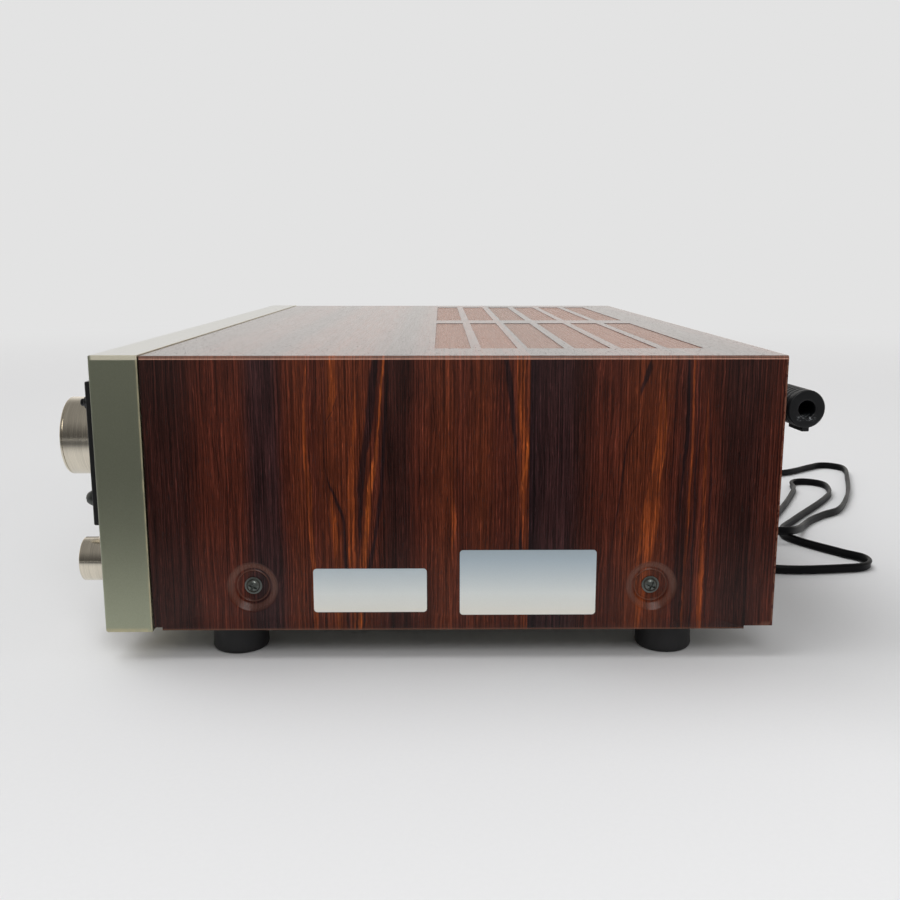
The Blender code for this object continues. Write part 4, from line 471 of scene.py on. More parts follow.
# Streaks across the bands, each as (share of the way down, millimetres behind the front, half width there)
FLAMES = (
    ((0, 75, 0.6), (0.3, 74, 1.5), (0.55, 75.5, 1.8), (0.8, 76, 1.8), (1, 77, 1.6)),
    ((0, 86.8, 2.2), (0.1, 87, 2.5), (0.2, 85.8, 1.6), (0.25, 84.6, 0), (1, 84, 0)),
    ((0, 86, 0), (0.42, 85.5, 0), (0.58, 86.5, 1.7), (0.78, 88, 2), (1, 88.5, 1.6)),
    ((0, 97, 0), (0.25, 96.5, 1.1), (0.5, 94.5, 2), (0.75, 94.5, 1.8), (1, 95, 1.2)),
    ((0, 171.5, 1.6), (0.2, 173, 2), (0.36, 175, 2.2), (0.5, 174, 1.6), (0.62, 174, 0.8), (1, 175, 0.9)),
    ((0, 233, 0), (0.15, 236, 0.9), (0.4, 235, 2.6), (0.58, 233.5, 4.6), (0.78, 231, 3.8), (1, 229, 1.4)),
    ((0, 250.3, 0.9), (0.5, 250.6, 0.9), (1, 250, 1)),
    ((0, 257, 0), (0.25, 257.2, 0.9), (0.6, 258, 1.2), (0.85, 258.4, 2), (1, 259, 1.5)),
    ((0, 141, 0), (0.45, 141, 0.6), (0.6, 141.5, 1.8), (0.72, 141.5, 0.4), (1, 141, 0)))
GLOWS = (
    ((0, 110, 0.9), (0.25, 107.5, 1), (0.36, 106, 1.4), (0.52, 102.5, 1.8), (0.75, 99, 1.8), (1, 97, 0.9)),
    ((0, 173.5, 0.7), (0.25, 175, 0.3), (0.36, 175.4, 1.1), (0.46, 173.6, 0.8), (0.56, 173, 0), (1, 173, 0)),
    ((0, 238, 0), (0.15, 238, 0.7), (0.32, 238.5, 0.9), (0.46, 237, 0.6), (0.55, 236, 0), (1, 236, 0)))
SHADOWS = (
    ((0, 83, 0.75), (0.25, 83.2, 0.7), (0.55, 83.5, 0.6), (0.8, 84.5, 0.6), (1, 85, 0.4)),
    ((0, 90, 0), (0.12, 89.3, 0.4), (0.19, 87, 0.7), (0.235, 84, 0.7), (0.27, 83, 0), (1, 83, 0)),
    ((0, 106.5, 1.7), (0.2, 104, 2), (0.4, 100, 2.1), (0.55, 98, 1.5), (0.72, 97.4, 0.7), (1, 97, 0.3)),
    ((0, 113, 0.5), (0.15, 111.5, 0.9), (0.3, 110.3, 1.3), (0.5, 108, 1.4), (0.65, 105, 1.5),
     (0.78, 101.5, 1.5), (1, 98.5, 0.8)),
    ((0, 84, 0), (0.4, 83.8, 0), (0.44, 84.3, 0.9), (0.52, 88.2, 1.2), (0.6, 91, 1.3), (1, 92, 0.9)),
    ((0, 19, 0.5), (0.25, 20.5, 0.5), (0.5, 21.8, 0.5), (1, 23, 0.3)),
    ((0, 22.4, 0.3), (0.2, 23.8, 0.5), (0.5, 25.4, 0.4), (1, 26.5, 0.3)),
    ((0, 165.5, 1.7), (0.12, 167.5, 2), (0.25, 169.6, 1.5), (0.4, 171, 0.8), (0.6, 172, 0.5), (1, 172, 0.4)),
    ((0, 161.5, 0.4), (0.2, 165, 0.6), (0.35, 168.3, 0.5), (0.45, 170.6, 0.4), (1, 171, 0)),
    ((0, 173, 0), (0.56, 172.8, 0), (0.68, 172.9, 1.6), (0.8, 174.2, 1.3), (0.88, 174.6, 0), (1, 174, 0)),
    ((0, 229, 0), (0.19, 228, 0.4), (0.31, 221.5, 0.8), (0.48, 219, 0.8), (0.68, 216, 0.6), (1, 213, 0.3)),
    ((0, 231, 0), (0.06, 229.5, 1.7), (0.12, 226.8, 1.2), (0.16, 225.5, 0), (1, 225, 0)),
    ((0, 244, 0.5), (0.25, 242.2, 0.7), (0.6, 242.4, 0.6), (1, 240, 0.4)),
    ((0, 247.6, 1.1), (0.25, 248, 1.2), (0.4, 247.3, 1), (0.6, 246.6, 0.9), (1, 245, 0.7)),
    ((0, 252.8, 0.6), (0.3, 253, 0.9), (0.6, 253.6, 1.1), (1, 254.4, 0.9)),
    ((0, 256, 0.4), (0.3, 259.5, 0.8), (0.6, 261, 0.9), (1, 262, 0.6)))
STREAK_GROUPS = ((FLAMES, AMBER, 0.8), (GLOWS, GLOW, 0.85), (SHADOWS, BLACKISH, 0.85))
STREAK_EDGE = 0.001
NEAR_SEAM = 0.02
# Painted highlight lines in the fold at the top of each side, as (share of the band below the top, strength)
FOLD_PAINTED_HIGHLIGHT = (
    (0.0, 0.0), (0.08, 0.25), (0.24, 0.3), (0.34, 0.1), (0.4, 0.85), (0.54, 0.85), (0.6, 0.0), (1.0, 0.0))
# Painted reflection in the screw dishes, as (share of the dish's radius from its middle, strength)
DISH_PAINTED_SHEEN = (
    (0.0, 0.0), (0.54, 0.0), (0.58, 0.45), (0.62, 0.75), (0.645, 0.15), (0.68, 0.0), (0.73, 0.75),
    (0.82, 0.85), (0.92, 0.6), (0.97, 0.2), (1.0, 0.0))


def make_rosewood(name, gain, gloss, contrast=1.0, faded=0.0, **sockets):
    """Printed rosewood grain: it runs up the sides and straight on across the top, with a painted reflection
    in the screw dishes and painted highlight lines along the top fold.
    """
    wood = Surface(name, BROWN, gloss, IOR=1.3, **sockets)
    x, y, z = wood.parts(wood.place)
    down = COVER_TOP - z
    along = wood.math("SIGN", x) * down + x
    reach = abs(along) - HALF_COVER
    depth = reach.span(0.0, COVER_TOP - COVER_BOTTOM)
    from_front = y - FRONT

    def grain(length, width, across, detail, roughness=0.55):
        """Noise stretched along the grain, with the given feature size along and across it."""
        cell = wood.add("CombineXYZ", {0: along * (1 / length), 1: across * (1 / width)})
        return wood.noise(cell, detail, roughness)

    def traced(streak, column):
        """A streak's place or half width down the side, as a share of the cover's depth."""
        return depth.curve([(point[0], point[column] * MM / COVER_DEPTH) for point in streak])

    sway = grain(0.11, 0.03, y, 2.0) * 0.004 - 0.002
    swirl = grain(0.03, 0.006, y, 3.0) * 0.003 - 0.0015
    ragged = grain(0.006, 0.0006, y, 2.0) * 0.0009 - 0.00045
    warped = from_front + (sway + (swirl + ragged))
    share = warped / COVER_DEPTH
    after = from_front > SEAM_PLACE
    bands = [share.ramp([(millimetres * MM / COVER_DEPTH, tone) for millimetres, tone in stops])
             for stops in (BANDS_BEFORE_SEAM, BANDS_AFTER_SEAM)]
    tone = wood.mix(after, *bands)
    patchy = grain(0.02, 0.004, warped, 3.0).span(0.36, 0.58, 0.35, 1.0)
    broken = grain(0.03, 0.0007, warped, 2.0).span(0.42, 0.6, 0.42, 1.0) * patchy
    on_side = reach.span(-0.004, 0.001, 0.12, 1.0)
    for streaks, colour, opacity in STREAK_GROUPS:
        strength = 0.0
        for streak in streaks:
            inside = traced(streak, 2) - abs(share - traced(streak, 1))
            found = inside.span(0.0, STREAK_EDGE / COVER_DEPTH, smooth=True)
            past_seam = streak[0][1] * MM - SEAM_PLACE
            if past_seam > 0:
                found = found * after
            elif past_seam > -NEAR_SEAM:
                found = found * (1.0 - after)
            strength = wood.math("MAXIMUM", found, strength)
        if colour != BLACKISH:
            strength = strength * broken
        tone = wood.mix(strength * on_side * opacity, tone, colour)

    hair = grain(0.04, 0.0005, warped, 2.0, 0.6)
    line = grain(0.06, 0.0011, warped, 2.0)
    thread = grain(0.15, 0.0008, from_front, 0.0)
    cloud = grain(0.025, 0.009, warped, 3.0)
    pores = grain(0.006, 0.00045, y, 1.0).span(0.64, 0.7)
    flecks = grain(0.009, 0.00045, warped, 1.0).span(0.56, 0.72, 1.0, 1.0 + 0.7 * contrast)
    patterns = ((hair, 0.34, 0.66, 0.52), (line, 0.3, 0.7, 0.3), (thread, 0.36, 0.64, 0.3),
                (cloud, 0.3, 0.7, 0.16))
    shade = gain
    for pattern, low, high, change in patterns:
        change *= contrast
        shade = pattern.span(low, high, 1 - change, 1 + change) * shade
    colour = wood.shaded(tone, shade * (flecks * (pores * -0.55 + 1.0)))
    if faded:
        colour = wood.mix(faded, colour, (114, 78, 58))

    # Painted reflection in the dishes round the cover screws: their ridge and walls are lightened, more on
    # the upper part; the same mask also roughens them.
    spot = wood.add("CombineXYZ", {0: 0.0, 1: y, 2: z})
    near = 1.0
    for dish_y in DISH_PLACES:
        seat = (0.0, dish_y, DISH_MIDDLE)
        apart = wood.add("VectorMath", {0: spot, 1: seat}, "Value", operation="DISTANCE")
        near = wood.math("MINIMUM", apart, near)
    dish_sheen = near.span(0.0, DISH_PROFILE[0][0]).curve(DISH_PAINTED_SHEEN)
    upper = z.span(DISH_MIDDLE - 0.01, DISH_MIDDLE + 0.006, 0.34, 0.78)
    colour = wood.mix(dish_sheen * upper, colour, (118, 82, 70))
    # Painted highlight: pale lines along the fold at the top of each side, where it catches the light.
    fold = down.span(0.0, FOLD_HIGHLIGHT_BAND).curve(FOLD_PAINTED_HIGHLIGHT) * hair.span(0.3, 0.6, 0.6, 1.0)
    colour = wood.mix(fold, colour, (214, 164, 144))

    worn = z.span(COVER_BOTTOM + 0.0003, COVER_BOTTOM + 0.001, 1.0, 0.0)
    low = z.span(COVER_BOTTOM + 0.0015, COVER_BOTTOM + 0.004, 1.0, 0.0)
    at_rear = wood.math("MAXIMUM", y.span(REAR - 0.01, REAR - 0.003) * low,
                        y.span(REAR - 0.001, REAR - 0.0004))
    chipped = (wood.texture(0.003) > 0.46) * at_rear
    worn = wood.math("MAXIMUM", worn * 0.35, chipped * 0.35)
    wood.set(Base_Color=wood.mix(worn, colour, (168, 122, 100)),
             Roughness=dish_sheen * 0.12 + (pores * 0.45 + line.span(0.2, 0.8, gloss * 0.9, gloss * 1.15)))
    wood.bump(hair - pores, 0.000004)
    return wood.material


# Plain surfaces

def metal(name, colour, roughness, grain, depth=0.00001, contrast=0.07):
    """A metal with fine noise, of one feature size or one for each axis."""
    surface = Surface(name, colour, roughness, 1.0)
    fine = surface.texture(grain, 3.0, 0.6)
    shade = fine.span(0.3, 0.7, 1 - contrast, 1 + contrast) * surface.texture(0.03).span(0.3, 0.7, 0.95, 1.05)
    surface.set(Base_Color=surface.shaded(colour, shade),
                Roughness=fine.span(0.2, 0.8, roughness * 0.85, roughness * 1.2))
    surface.bump(fine, depth)
    return surface.material


def moulded(name, colour, roughness, grain=0.0006, depth=0.00002, **sockets):
    """Plastic, rubber or paint with a fine even texture."""
    surface = Surface(name, colour, roughness, **sockets)
    broad = surface.texture(0.02)
    surface.set(Base_Color=surface.shaded(colour, broad.span(0.3, 0.7, 0.88, 1.12)),
                Roughness=broad.span(0.3, 0.7, roughness * 0.9, roughness * 1.12))
    surface.bump(surface.texture(grain), depth)
    return surface.material


def make_glass():
    """Lightly smoked glass that lets the dial show."""
    glass = Surface("smoked_glass", (60, 70, 72), 0.03, Alpha=0.16)
    glass.set(Roughness=glass.texture(0.05).span(0.3, 0.7, 0.02, 0.05))
    return glass.material


def make_panel_metal():
    """Satin anodised aluminium with edges worn pale gold; its top is painted paler as painted light, its ends
    a darker olive grey that is partly their own tone and partly painted shade, and a painted highlight runs
    along the top of each end.
    """
    face_tone = (198, 197, 186)
    panel = Surface("satin_aluminium", face_tone, 0.32, 0.95)
    x, y, z = panel.parts(panel.place)
    fine = panel.texture((0.0045, 0.00022, 0.00022), 3.0, 0.6)
    dots = panel.texture(0.00045)
    at_end = abs(x).span(PANEL_HIGH.x - 0.0006, PANEL_HIGH.x - 0.0003)
    on_top = z.span(PANEL_HIGH.z - 0.0006, PANEL_HIGH.z - 0.0003)
    # Painted light and shade: the top is given a paler grey as painted light, and the ends a darker olive
    # grey, partly their own tone and partly painted shade.
    tone = panel.mix(at_end, panel.mix(on_top, face_tone, (212, 214, 212)), (164, 168, 146))
    colour = panel.shaded(tone, fine.span(0.3, 0.7, 0.96, 1.04) * dots.span(0.3, 0.7, 0.95, 1.05))
    bottom = z.span(PANEL_LOW.z + 0.001, PANEL_LOW.z + 0.0022, 1.0, 0.0)
    back = y.span(PANEL_HIGH.y - 0.001, PANEL_HIGH.y - 0.0004)
    golden = panel.math("MAXIMUM", bottom, back) * panel.texture(0.004, 3.0, 0.6).span(0.3, 0.55, 0.25, 0.65)
    colour = panel.mix(golden, colour, (202, 190, 150))
    # Painted highlight: a pale band along the top of each end, where the rounded edge catches the light; it
    # and the worn golden edges of the ends are made less metallic.
    rim = at_end * z.span(PANEL_HIGH.z - 0.0024, PANEL_HIGH.z - 0.0019)
    rim = rim * y.span(PANEL_LOW.y + 0.001, PANEL_LOW.y + 0.0022)
    pale = panel.math("MAXIMUM", rim, golden * at_end)
    panel.set(Base_Color=panel.mix(rim, colour, (214, 208, 186)),
              Metallic=pale.span(0.0, 1.0, 0.95, 0.1),
              Roughness=dots.span(0.3, 0.7, 0.28, 0.36))
    panel.bump(dots, 0.00001)
    return panel.material


def make_foil():
    """Silvery foil with painted light: paler and warmer toward the lower edge, darker and bluer toward the
    top.
    """
    foil = Surface("label_foil", (212, 215, 216), 0.3, 0.08)
    z = foil.parts(foil.place)[2]
    # Painted light and reflection: a bluer tone and darker shade toward the top, a paler, warmer one toward
    # the bottom.
    tone = foil.mix(z.span(0.024, 0.05), (220, 219, 211), (192, 208, 218))
    shade = z.span(0.033, 0.054, 1.32, 0.8) * foil.texture(0.0004).span(0.3, 0.7, 0.98, 1.02)
    foil.set(Base_Color=foil.shaded(tone, shade))
    return foil.material


def make_antenna_plastic():
    """Black moulding with pale scuffs at the lower rim of the rod's hollow end."""
    black = (17, 18, 21)
    plastic = Surface("antenna_moulding", black, 0.36)
    x, y, z = plastic.parts(plastic.place)
    end = x.span(0.189, 0.1925) * abs(y - ANTENNA_END_PLACE).span(0.0055, 0.0035)
    low = z.span(0.1105, 0.1088) * z.span(0.1066, 0.1076)
    flakes = plastic.texture((0.0016, 0.0016, 0.0008), 4.0, 0.7).span(0.52, 0.58)
    plastic.set(Base_Color=plastic.mix(flakes * (end * low), black, (150, 154, 158)),
                Roughness=plastic.texture(0.003).span(0.3, 0.7, 0.32, 0.42))
    return plastic.material


SPUN = (0.02, 0.0003, 0.02)
WOOD = make_rosewood("rosewood_vinyl_grain", 1.24, 0.17)
VENT_WOOD = make_rosewood("rosewood_vent_paint", 1.5, 0.26, 0.5, 0.12, Sheen_Weight=0.5, Sheen_Roughness=0.45,
                          Sheen_Tint=(232, 190, 170))
SILVER = make_panel_metal()
TURNED = metal("spun_aluminium", (222, 214, 198), 0.2, SPUN, 0.000016, 0.16)
TURNED_SMALL = metal("spun_aluminium_small", (222, 214, 198), 0.14, SPUN, contrast=0.16)
BLACK = moulded("satin_black", (17, 17, 18), 0.34)
RUBBER = moulded("foot_rubber", (22, 22, 24), 0.55, 0.0004)
ZINC = metal("zinc_plate", (178, 178, 170), 0.38, 0.004, 0.00002)
REAR_PAINT = moulded("rear_enamel", (38, 38, 40), 0.5, 0.0005, 0.00004)
WHITE = moulded("scale_enamel", (214, 222, 212), 0.5)
METER_FACE = moulded("meter_card", (232, 228, 208), 0.55)
KEY_RED = moulded("red_moulding", (168, 30, 26), 0.38)
SOCKET_RED = moulded("red_insulator", (176, 34, 30), 0.42)
SOCKET_WHITE = moulded("white_insulator", (214, 212, 204), 0.42)
CARD_RED = moulded("red_ink", (186, 42, 30), 0.5)
RED = moulded("pointer_enamel", (214, 44, 24), 0.4)
PLASTIC = moulded("black_moulding", (24, 25, 28), 0.4)
BOARD = moulded("board_laminate", (128, 98, 52), 0.5)
SLEEVE = moulded("sleeve_film", (34, 56, 116), 0.35)
BRASS = metal("turned_brass", (206, 170, 104), 0.28, 0.004)
JACKET = moulded("cord_vinyl", (13, 13, 15), 0.42, 0.0008, 0.00001, IOR=1.22)
BLACK_SCREW = metal("blackened_steel", (54, 54, 56), 0.35, 0.001)
DOME_STEEL = metal("dull_steel", (84, 86, 84), 0.36, 0.001)
COVER_SCREW = metal("grey_steel", (112, 116, 112), 0.34, 0.001)
ANTENNA_BLACK = make_antenna_plastic()
FOIL = make_foil()
INK = moulded("printed_ink", (30, 30, 32), 0.5)
LINING = moulded("cover_lining", (52, 46, 42), 0.55)
SLOT_MATERIALS = {
    "rosewood_vinyl": WOOD, "front_aluminium": SILVER, "black_plate": BLACK, "turned_aluminium": TURNED,
    "dial_glass": make_glass(), "black_rubber": RUBBER, "zinc_steel": ZINC, "rear_paint": REAR_PAINT,
    "scale_white": WHITE, "pointer_red": RED, "black_plastic": PLASTIC, "board": BOARD,
    "capacitor_sleeve": SLEEVE, "brass": BRASS, "cord_jacket": JACKET, "black_screw": COVER_SCREW}


# Shapes

def as_object(name, shape, material, smooth=True):
    """Turns a bmesh in the frame's coordinates into an object of the scene."""
    bmesh.ops.recalc_face_normals(shape, faces=shape.faces)
    mesh = bpy.data.meshes.new(name)
    shape.to_mesh(mesh)
    shape.free()
    if smooth:
        mesh.shade_smooth()
        mesh.set_sharp_from_angle(angle=SHARP_ANGLE)
    mesh.materials.append(material)
    obj = bpy.data.objects.new(name, mesh)
    bpy.context.scene.collection.objects.link(obj)
    return obj


def shade_flats(obj):
    """Keeps the shading of flat faces flat."""
    weighted = obj.modifiers.new("flat shading of the flats", "WEIGHTED_NORMAL")
    weighted.keep_sharp = True


def piece(name, shape, material, body="cabinet", replaced=(), smooth=True, edge=0.0):
    """Turns a bmesh into a piece that rides on a body; edge is the width of its broken edges."""
    obj = as_object(name, shape, material, smooth)
    if edge:
        bevel = obj.modifiers.new("broken edges", "BEVEL")
        bevel.limit_method = "ANGLE"
        bevel.angle_limit = SHARP_ANGLE
        bevel.width = edge
        bevel.segments = 2
        bevel.miter_outer = "MITER_ARC"
        shade_flats(obj)
    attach(obj, body)
    if replaced:
        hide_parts(*replaced)
    return obj


def refined(node, edge):
    """The node's own shape with fine broken edges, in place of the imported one."""
    source = NODES[node]
    slot = source.data.materials[0].name
    shape = bmesh.new()
    shape.from_mesh(source.data)
    bmesh.ops.remove_doubles(shape, verts=shape.verts, dist=WELD)
    return piece(node + "_finish", shape, SLOT_MATERIALS[slot], source["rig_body"], (node,), edge=edge)


def skin(shape, rings, capped=True, joined=False):
    """Faces between neighbouring rings of vertices; the ends are capped, or joined to each other."""
    pairs = list(zip(rings, rings[1:]))
    if joined:
        pairs.append((rings[-1], rings[0]))
    elif capped:
        shape.faces.new(rings[0])
        shape.faces.new(rings[-1])
    for lower, upper in pairs:
        for step, vert in enumerate(lower):
            after = (step + 1) % len(lower)
            shape.faces.new((vert, lower[after], upper[after], upper[step]))


def box(low, high, into=None, turn=None):
    """A box between two corners, placed by a matrix where one is given."""
    shape = into or bmesh.new()
    turn = turn or Matrix()
    rings = [[shape.verts.new(turn @ Vector((x, y, z)))
              for x, y in ((low[0], low[1]), (high[0], low[1]), (high[0], high[1]), (low[0], high[1]))]
             for z in (low[2], high[2])]
    skin(shape, rings)
    return shape


def circle(steps):
    """Cosine and sine at each step round a circle."""
    return [(math.cos(math.tau * step / steps), math.sin(math.tau * step / steps)) for step in range(steps)]


def axes(axis):
    """Three directions at right angles, the first of them along the axis."""
    along = Vector(axis).normalized()
    side = along.cross(Vector((0.0, 0.0, 1.0)))
    side = side.normalized() if side.length > 0.5 else Vector((1.0, 0.0, 0.0))
    return along, side, side.cross(along)


def turned(profile, centre, axis, steps, into=None, closed=False):
    """A solid turned round an axis through a centre, from points of (radius, distance along the axis)."""
    shape = into or bmesh.new()
    along, side, up = axes(axis)
    spokes = [side * cosine + up * sine for cosine, sine in circle(steps)]
    rings = [[shape.verts.new(Vector(centre) + along * distance + spoke * radius) for spoke in spokes]
             for radius, distance in profile]
    skin(shape, rings, joined=closed)
    return shape


def rounded(radius, distance, fillet, start, end, steps=6):
    """Profile points round a fillet whose centre lies at (radius, distance), angles in degrees."""
    angles = [math.radians(start + (end - start) * step / steps) for step in range(steps + 1)]
    return [(radius + fillet * math.cos(angle), distance + fillet * math.sin(angle)) for angle in angles]


def toward(centre, angle, reach):
    """The X and Z at some reach from a centre, at an angle clockwise from the top."""
    return centre.x + reach * math.sin(angle), centre.z + reach * math.cos(angle)


def strip(shape, x, z, width, height, y):
    """A thin printed bar on a surface that faces the front, centred at (x, z)."""
    box((x - width / 2, y - PRINT, z - height / 2), (x + width / 2, y, z + height / 2), shape)


def spoke(shape, centre, angle, inner, outer, width, y):
    """A thin printed stroke that points away from a centre, at an angle clockwise from the top."""
    turn = Matrix.Translation((centre.x, 0.0, centre.z)) @ Matrix.Rotation(angle, 4, "Y")
    box((-width / 2, y - PRINT, inner), (width / 2, y, outer), shape, turn)


def arc_band(shape, centre, start, end, inner, outer, y):
    """A thin printed arc between two angles, clockwise from the top."""
    corners = ((inner, y), (outer, y), (outer, y - PRINT), (inner, y - PRINT))
    rings = []
    for step in range(ARC_STEPS + 1):
        places = [(*toward(centre, start + (end - start) * step / ARC_STEPS, reach), level)
                  for reach, level in corners]
        rings.append([shape.verts.new((x, level, z)) for x, z, level in places])
    skin(shape, rings)


def number(shape, value, place, size, y):
    """A dial number, centred at a place (x, z), raised a little from a surface that faces the front."""
    curve = bpy.data.curves.new("number", "FONT")
    curve.body = str(value)
    curve.size = size / DIGIT_SHARE
    curve.align_x = "CENTER"
    curve.align_y = "CENTER"
    curve.extrude = PRINT / 2
    curve.resolution_u = 4
    glyph = bpy.data.objects.new("number", curve)
    mesh = glyph.to_mesh()
    upright = Matrix.Rotation(math.radians(90), 4, "X")
    mesh.transform(Matrix.Translation((place[0], y - PRINT / 2, place[1])) @ upright)
    shape.from_mesh(mesh)
    glyph.to_mesh_clear()
    bpy.data.objects.remove(glyph)
    bpy.data.curves.remove(curve)


def screw_head(shape, centre, axis, radius, height, flange=0.0):
    """A pan head with a cross recess; the flange is how far its washer stands out beyond the head."""
    half = radius * CROSS_HALF
    reach = radius * CROSS_REACH
    along, side, up = axes(axis)
    shares = [ring / HEAD_RINGS for ring in range(HEAD_RINGS + 1)]
    profile = [(radius * share, height * (1 - HEAD_CROWN * share ** 3.5)) for share in shares]
    if flange:
        profile += [(radius, height * 0.22), (radius + flange, height * 0.2), (radius + flange, 0.0)]
    else:
        profile.append((radius, 0.0))
    rings = []
    for distance, level in profile:
        ring = []
        for step in range(HEAD_STEPS if distance else 1):
            angle = math.tau * step / HEAD_STEPS
            u = distance * math.cos(angle - CROSS_TURN)
            v = distance * math.sin(angle - CROSS_TURN)
            in_cross = min(abs(u), abs(v)) < half and distance < reach
            sunk = height * CROSS_DEPTH * (1 - 0.5 * distance / reach) if in_cross else 0.0
            offset = side * (distance * math.cos(angle)) + up * (distance * math.sin(angle))
            ring.append(shape.verts.new(Vector(centre) + offset + along * (level - sunk)))
        rings.append(ring)
    middle = rings.pop(0)[0]
    for step, vert in enumerate(rings[0]):
        shape.faces.new((middle, vert, rings[0][(step + 1) % HEAD_STEPS]))
    skin(shape, rings, capped=False)
    shape.faces.new(rings[-1])


# Cover

def loop_edges(shape, points):
    """A closed chain of edges through the points; returns its vertices and edges."""
    verts = [shape.verts.new(point) for point in points]
    return verts, [shape.edges.new(pair) for pair in zip(verts, verts[1:] + verts[:1])]


def add_side(shape, side):
    """One side of the cover with dishes and fold; returns the rear and front end of its top edge."""
    top = COVER_TOP - COVER_FOLD_RADIUS
    step_up = COVER_BOTTOM + HEM_THICKNESS
    notch_front = FRONT + HEM_FRONT_NOTCH
    notch_rear = REAR - HEM_REAR_NOTCH
    outline = ((SHEET_FRONT, top), (SHEET_FRONT, step_up), (notch_front, step_up),
               (notch_front, COVER_BOTTOM), (notch_rear, COVER_BOTTOM), (notch_rear, step_up),
               (REAR, step_up), (REAR, top))
    verts, edges = loop_edges(shape, [(side * HALF_COVER, y, z) for y, z in outline])
    for dish_y in DISH_PLACES:
        loops = []
        for radius, deep in DISH_PROFILE:
            x = side * (HALF_COVER - deep)
            loops.append(loop_edges(shape, [(x, dish_y + radius * cosine, DISH_MIDDLE + radius * sine)
                                            for cosine, sine in circle(DISH_STEPS)]))
        skin(shape, [ring for ring, loop in loops], capped=False)
        edges += loops[0][1]
    bmesh.ops.triangle_fill(shape, edges=edges, use_beauty=True)
    hem = verts[3:5]
    inner = [shape.verts.new((side * (HALF_COVER - HEM_WIDTH), vert.co.y, COVER_BOTTOM)) for vert in hem]
    shape.faces.new((*hem, *reversed(inner)))
    rear, front = verts[-1], verts[0]
    for x, z in rounded(HALF_COVER - COVER_FOLD_RADIUS, top, COVER_FOLD_RADIUS, 0, 90, FOLD_STEPS)[1:]:
        new_rear, new_front = [shape.verts.new((side * x, y, z)) for y in (REAR, SHEET_FRONT)]
        shape.faces.new((rear, front, new_front, new_rear))
        rear, front = new_rear, new_front
    return rear, front


def vent_places():
    """Left, right, front and rear edge of each vent."""
    outer = HALF_COVER - VENT_SIDE_MARGIN
    inner = VENT_MIDDLE_BAR / 2
    for left, right in ((-outer, -inner), (inner, outer)):
        for index in range(VENT_COUNT):
            y = REAR - VENT_FROM_REAR + VENT_PITCH * index
            yield left, right, y, y + VENT_WIDTH


def make_cover():
    """The cover's folded sheet: sides with dishes, fine folds and a top with recesses for the vents."""
    shape = bmesh.new()
    right_rear, right_front = add_side(shape, 1)
    left_rear, left_front = add_side(shape, -1)
    edges = [shape.edges.get((right_rear, right_front)), shape.edges.get((left_rear, left_front)),
             shape.edges.new((right_front, left_front)), shape.edges.new((left_rear, right_rear))]
    for left, right, front, rear in vent_places():
        outline = ((left, front), (right, front), (right, rear), (left, rear))
        loops = [loop_edges(shape, [(x, y, z) for x, y in outline])
                 for z in (COVER_TOP, COVER_TOP - VENT_RECESS)]
        skin(shape, [ring for ring, loop in loops], capped=False)
        edges += loops[0][1]
    bmesh.ops.triangle_fill(shape, edges=edges, use_beauty=True)
    cover = piece("cover_sheet", shape, WOOD, replaced=("top_cover",))
    cover.data.materials.append(LINING)
    if cover.data.polygons[0].normal.x * cover.data.polygons[0].center.x < 0:
        cover.data.flip_normals()
    wall = cover.modifiers.new("sheet thickness", "SOLIDIFY")
    wall.thickness = COVER_WALL
    wall.offset = -1.0
    wall.use_even_offset = True
    wall.material_offset = 1
    wall.material_offset_rim = 0
    shade_flats(cover)


def make_vent_screens():
    """Floors of the vent recesses: fine bars that run front to back, with open slots between them."""
    shape = bmesh.new()
    top = COVER_TOP - VENT_RECESS
    for left, right, front, rear in vent_places():
        bars = round((right - left) / VENT_SLOT_PITCH)
        pitch = (right - left) / bars
        for index in range(bars):
            start = left + pitch * index + VENT_SLOT_WIDTH / 2
            box((start, front - VENT_BAR_OVERLAP, top - COVER_WALL),
                (start + pitch - VENT_SLOT_WIDTH, rear + VENT_BAR_OVERLAP, top), shape)
    piece("vent_screens", shape, VENT_WOOD, smooth=False)


def make_labels():
    """Two blank silvery plates on the photographed side."""
    for name, front, rear, low, high in LABELS:
        near, far = front + LABEL_CORNER, rear - LABEL_CORNER
        bottom, top = low + LABEL_CORNER, high - LABEL_CORNER
        outline = []
        for y, z, start in ((far, top, 0), (near, top, 90), (near, bottom, 180), (far, bottom, 270)):
            outline += rounded(y, z, LABEL_CORNER, start, start + 90)
        shape = bmesh.new()
        skin(shape, [[shape.verts.new((x, y, z)) for y, z in outline]
                     for x in (HALF_COVER, HALF_COVER + LABEL_THICKNESS)])
        piece(name, shape, FOIL)


# Front

def knob_profile(shaft, radius, length, groove, rim, sunk):
    """A knob from its shaft's end to its face, with a groove near its rim and a sunk middle."""
    wall = radius - KNOB_FILLET
    return [*shaft, (wall, 0.0), *rounded(wall, KNOB_FILLET, KNOB_FILLET, -90, 0), *groove,
            *rounded(wall, length - KNOB_FILLET, KNOB_FILLET, 0, 90),
            (radius - rim, length), (radius - rim - sunk, length - sunk), (PIN_HOLE, length - sunk)]


def make_tuning_knob():
    """The large turned knob, with a fine groove near its rim and a dished face."""
    low, high, middle = extent("tuning_knob")
    radius = high.x - middle.x
    length = high.y - low.y
    place = length - KNOB_GROOVE_PLACE
    groove = [(radius, place - KNOB_GROOVE), (radius - KNOB_GROOVE, place), (radius, place + KNOB_GROOVE)]
    profile = knob_profile([(TUNING_BORE, 0.0)], radius, length, groove, KNOB_RIM, KNOB_DISH)
    shape = turned(profile, (middle.x, high.y, middle.z), TO_FRONT, 160)
    piece("tuning_knob_turned", shape, TURNED, "tuning", ("tuning_knob",))


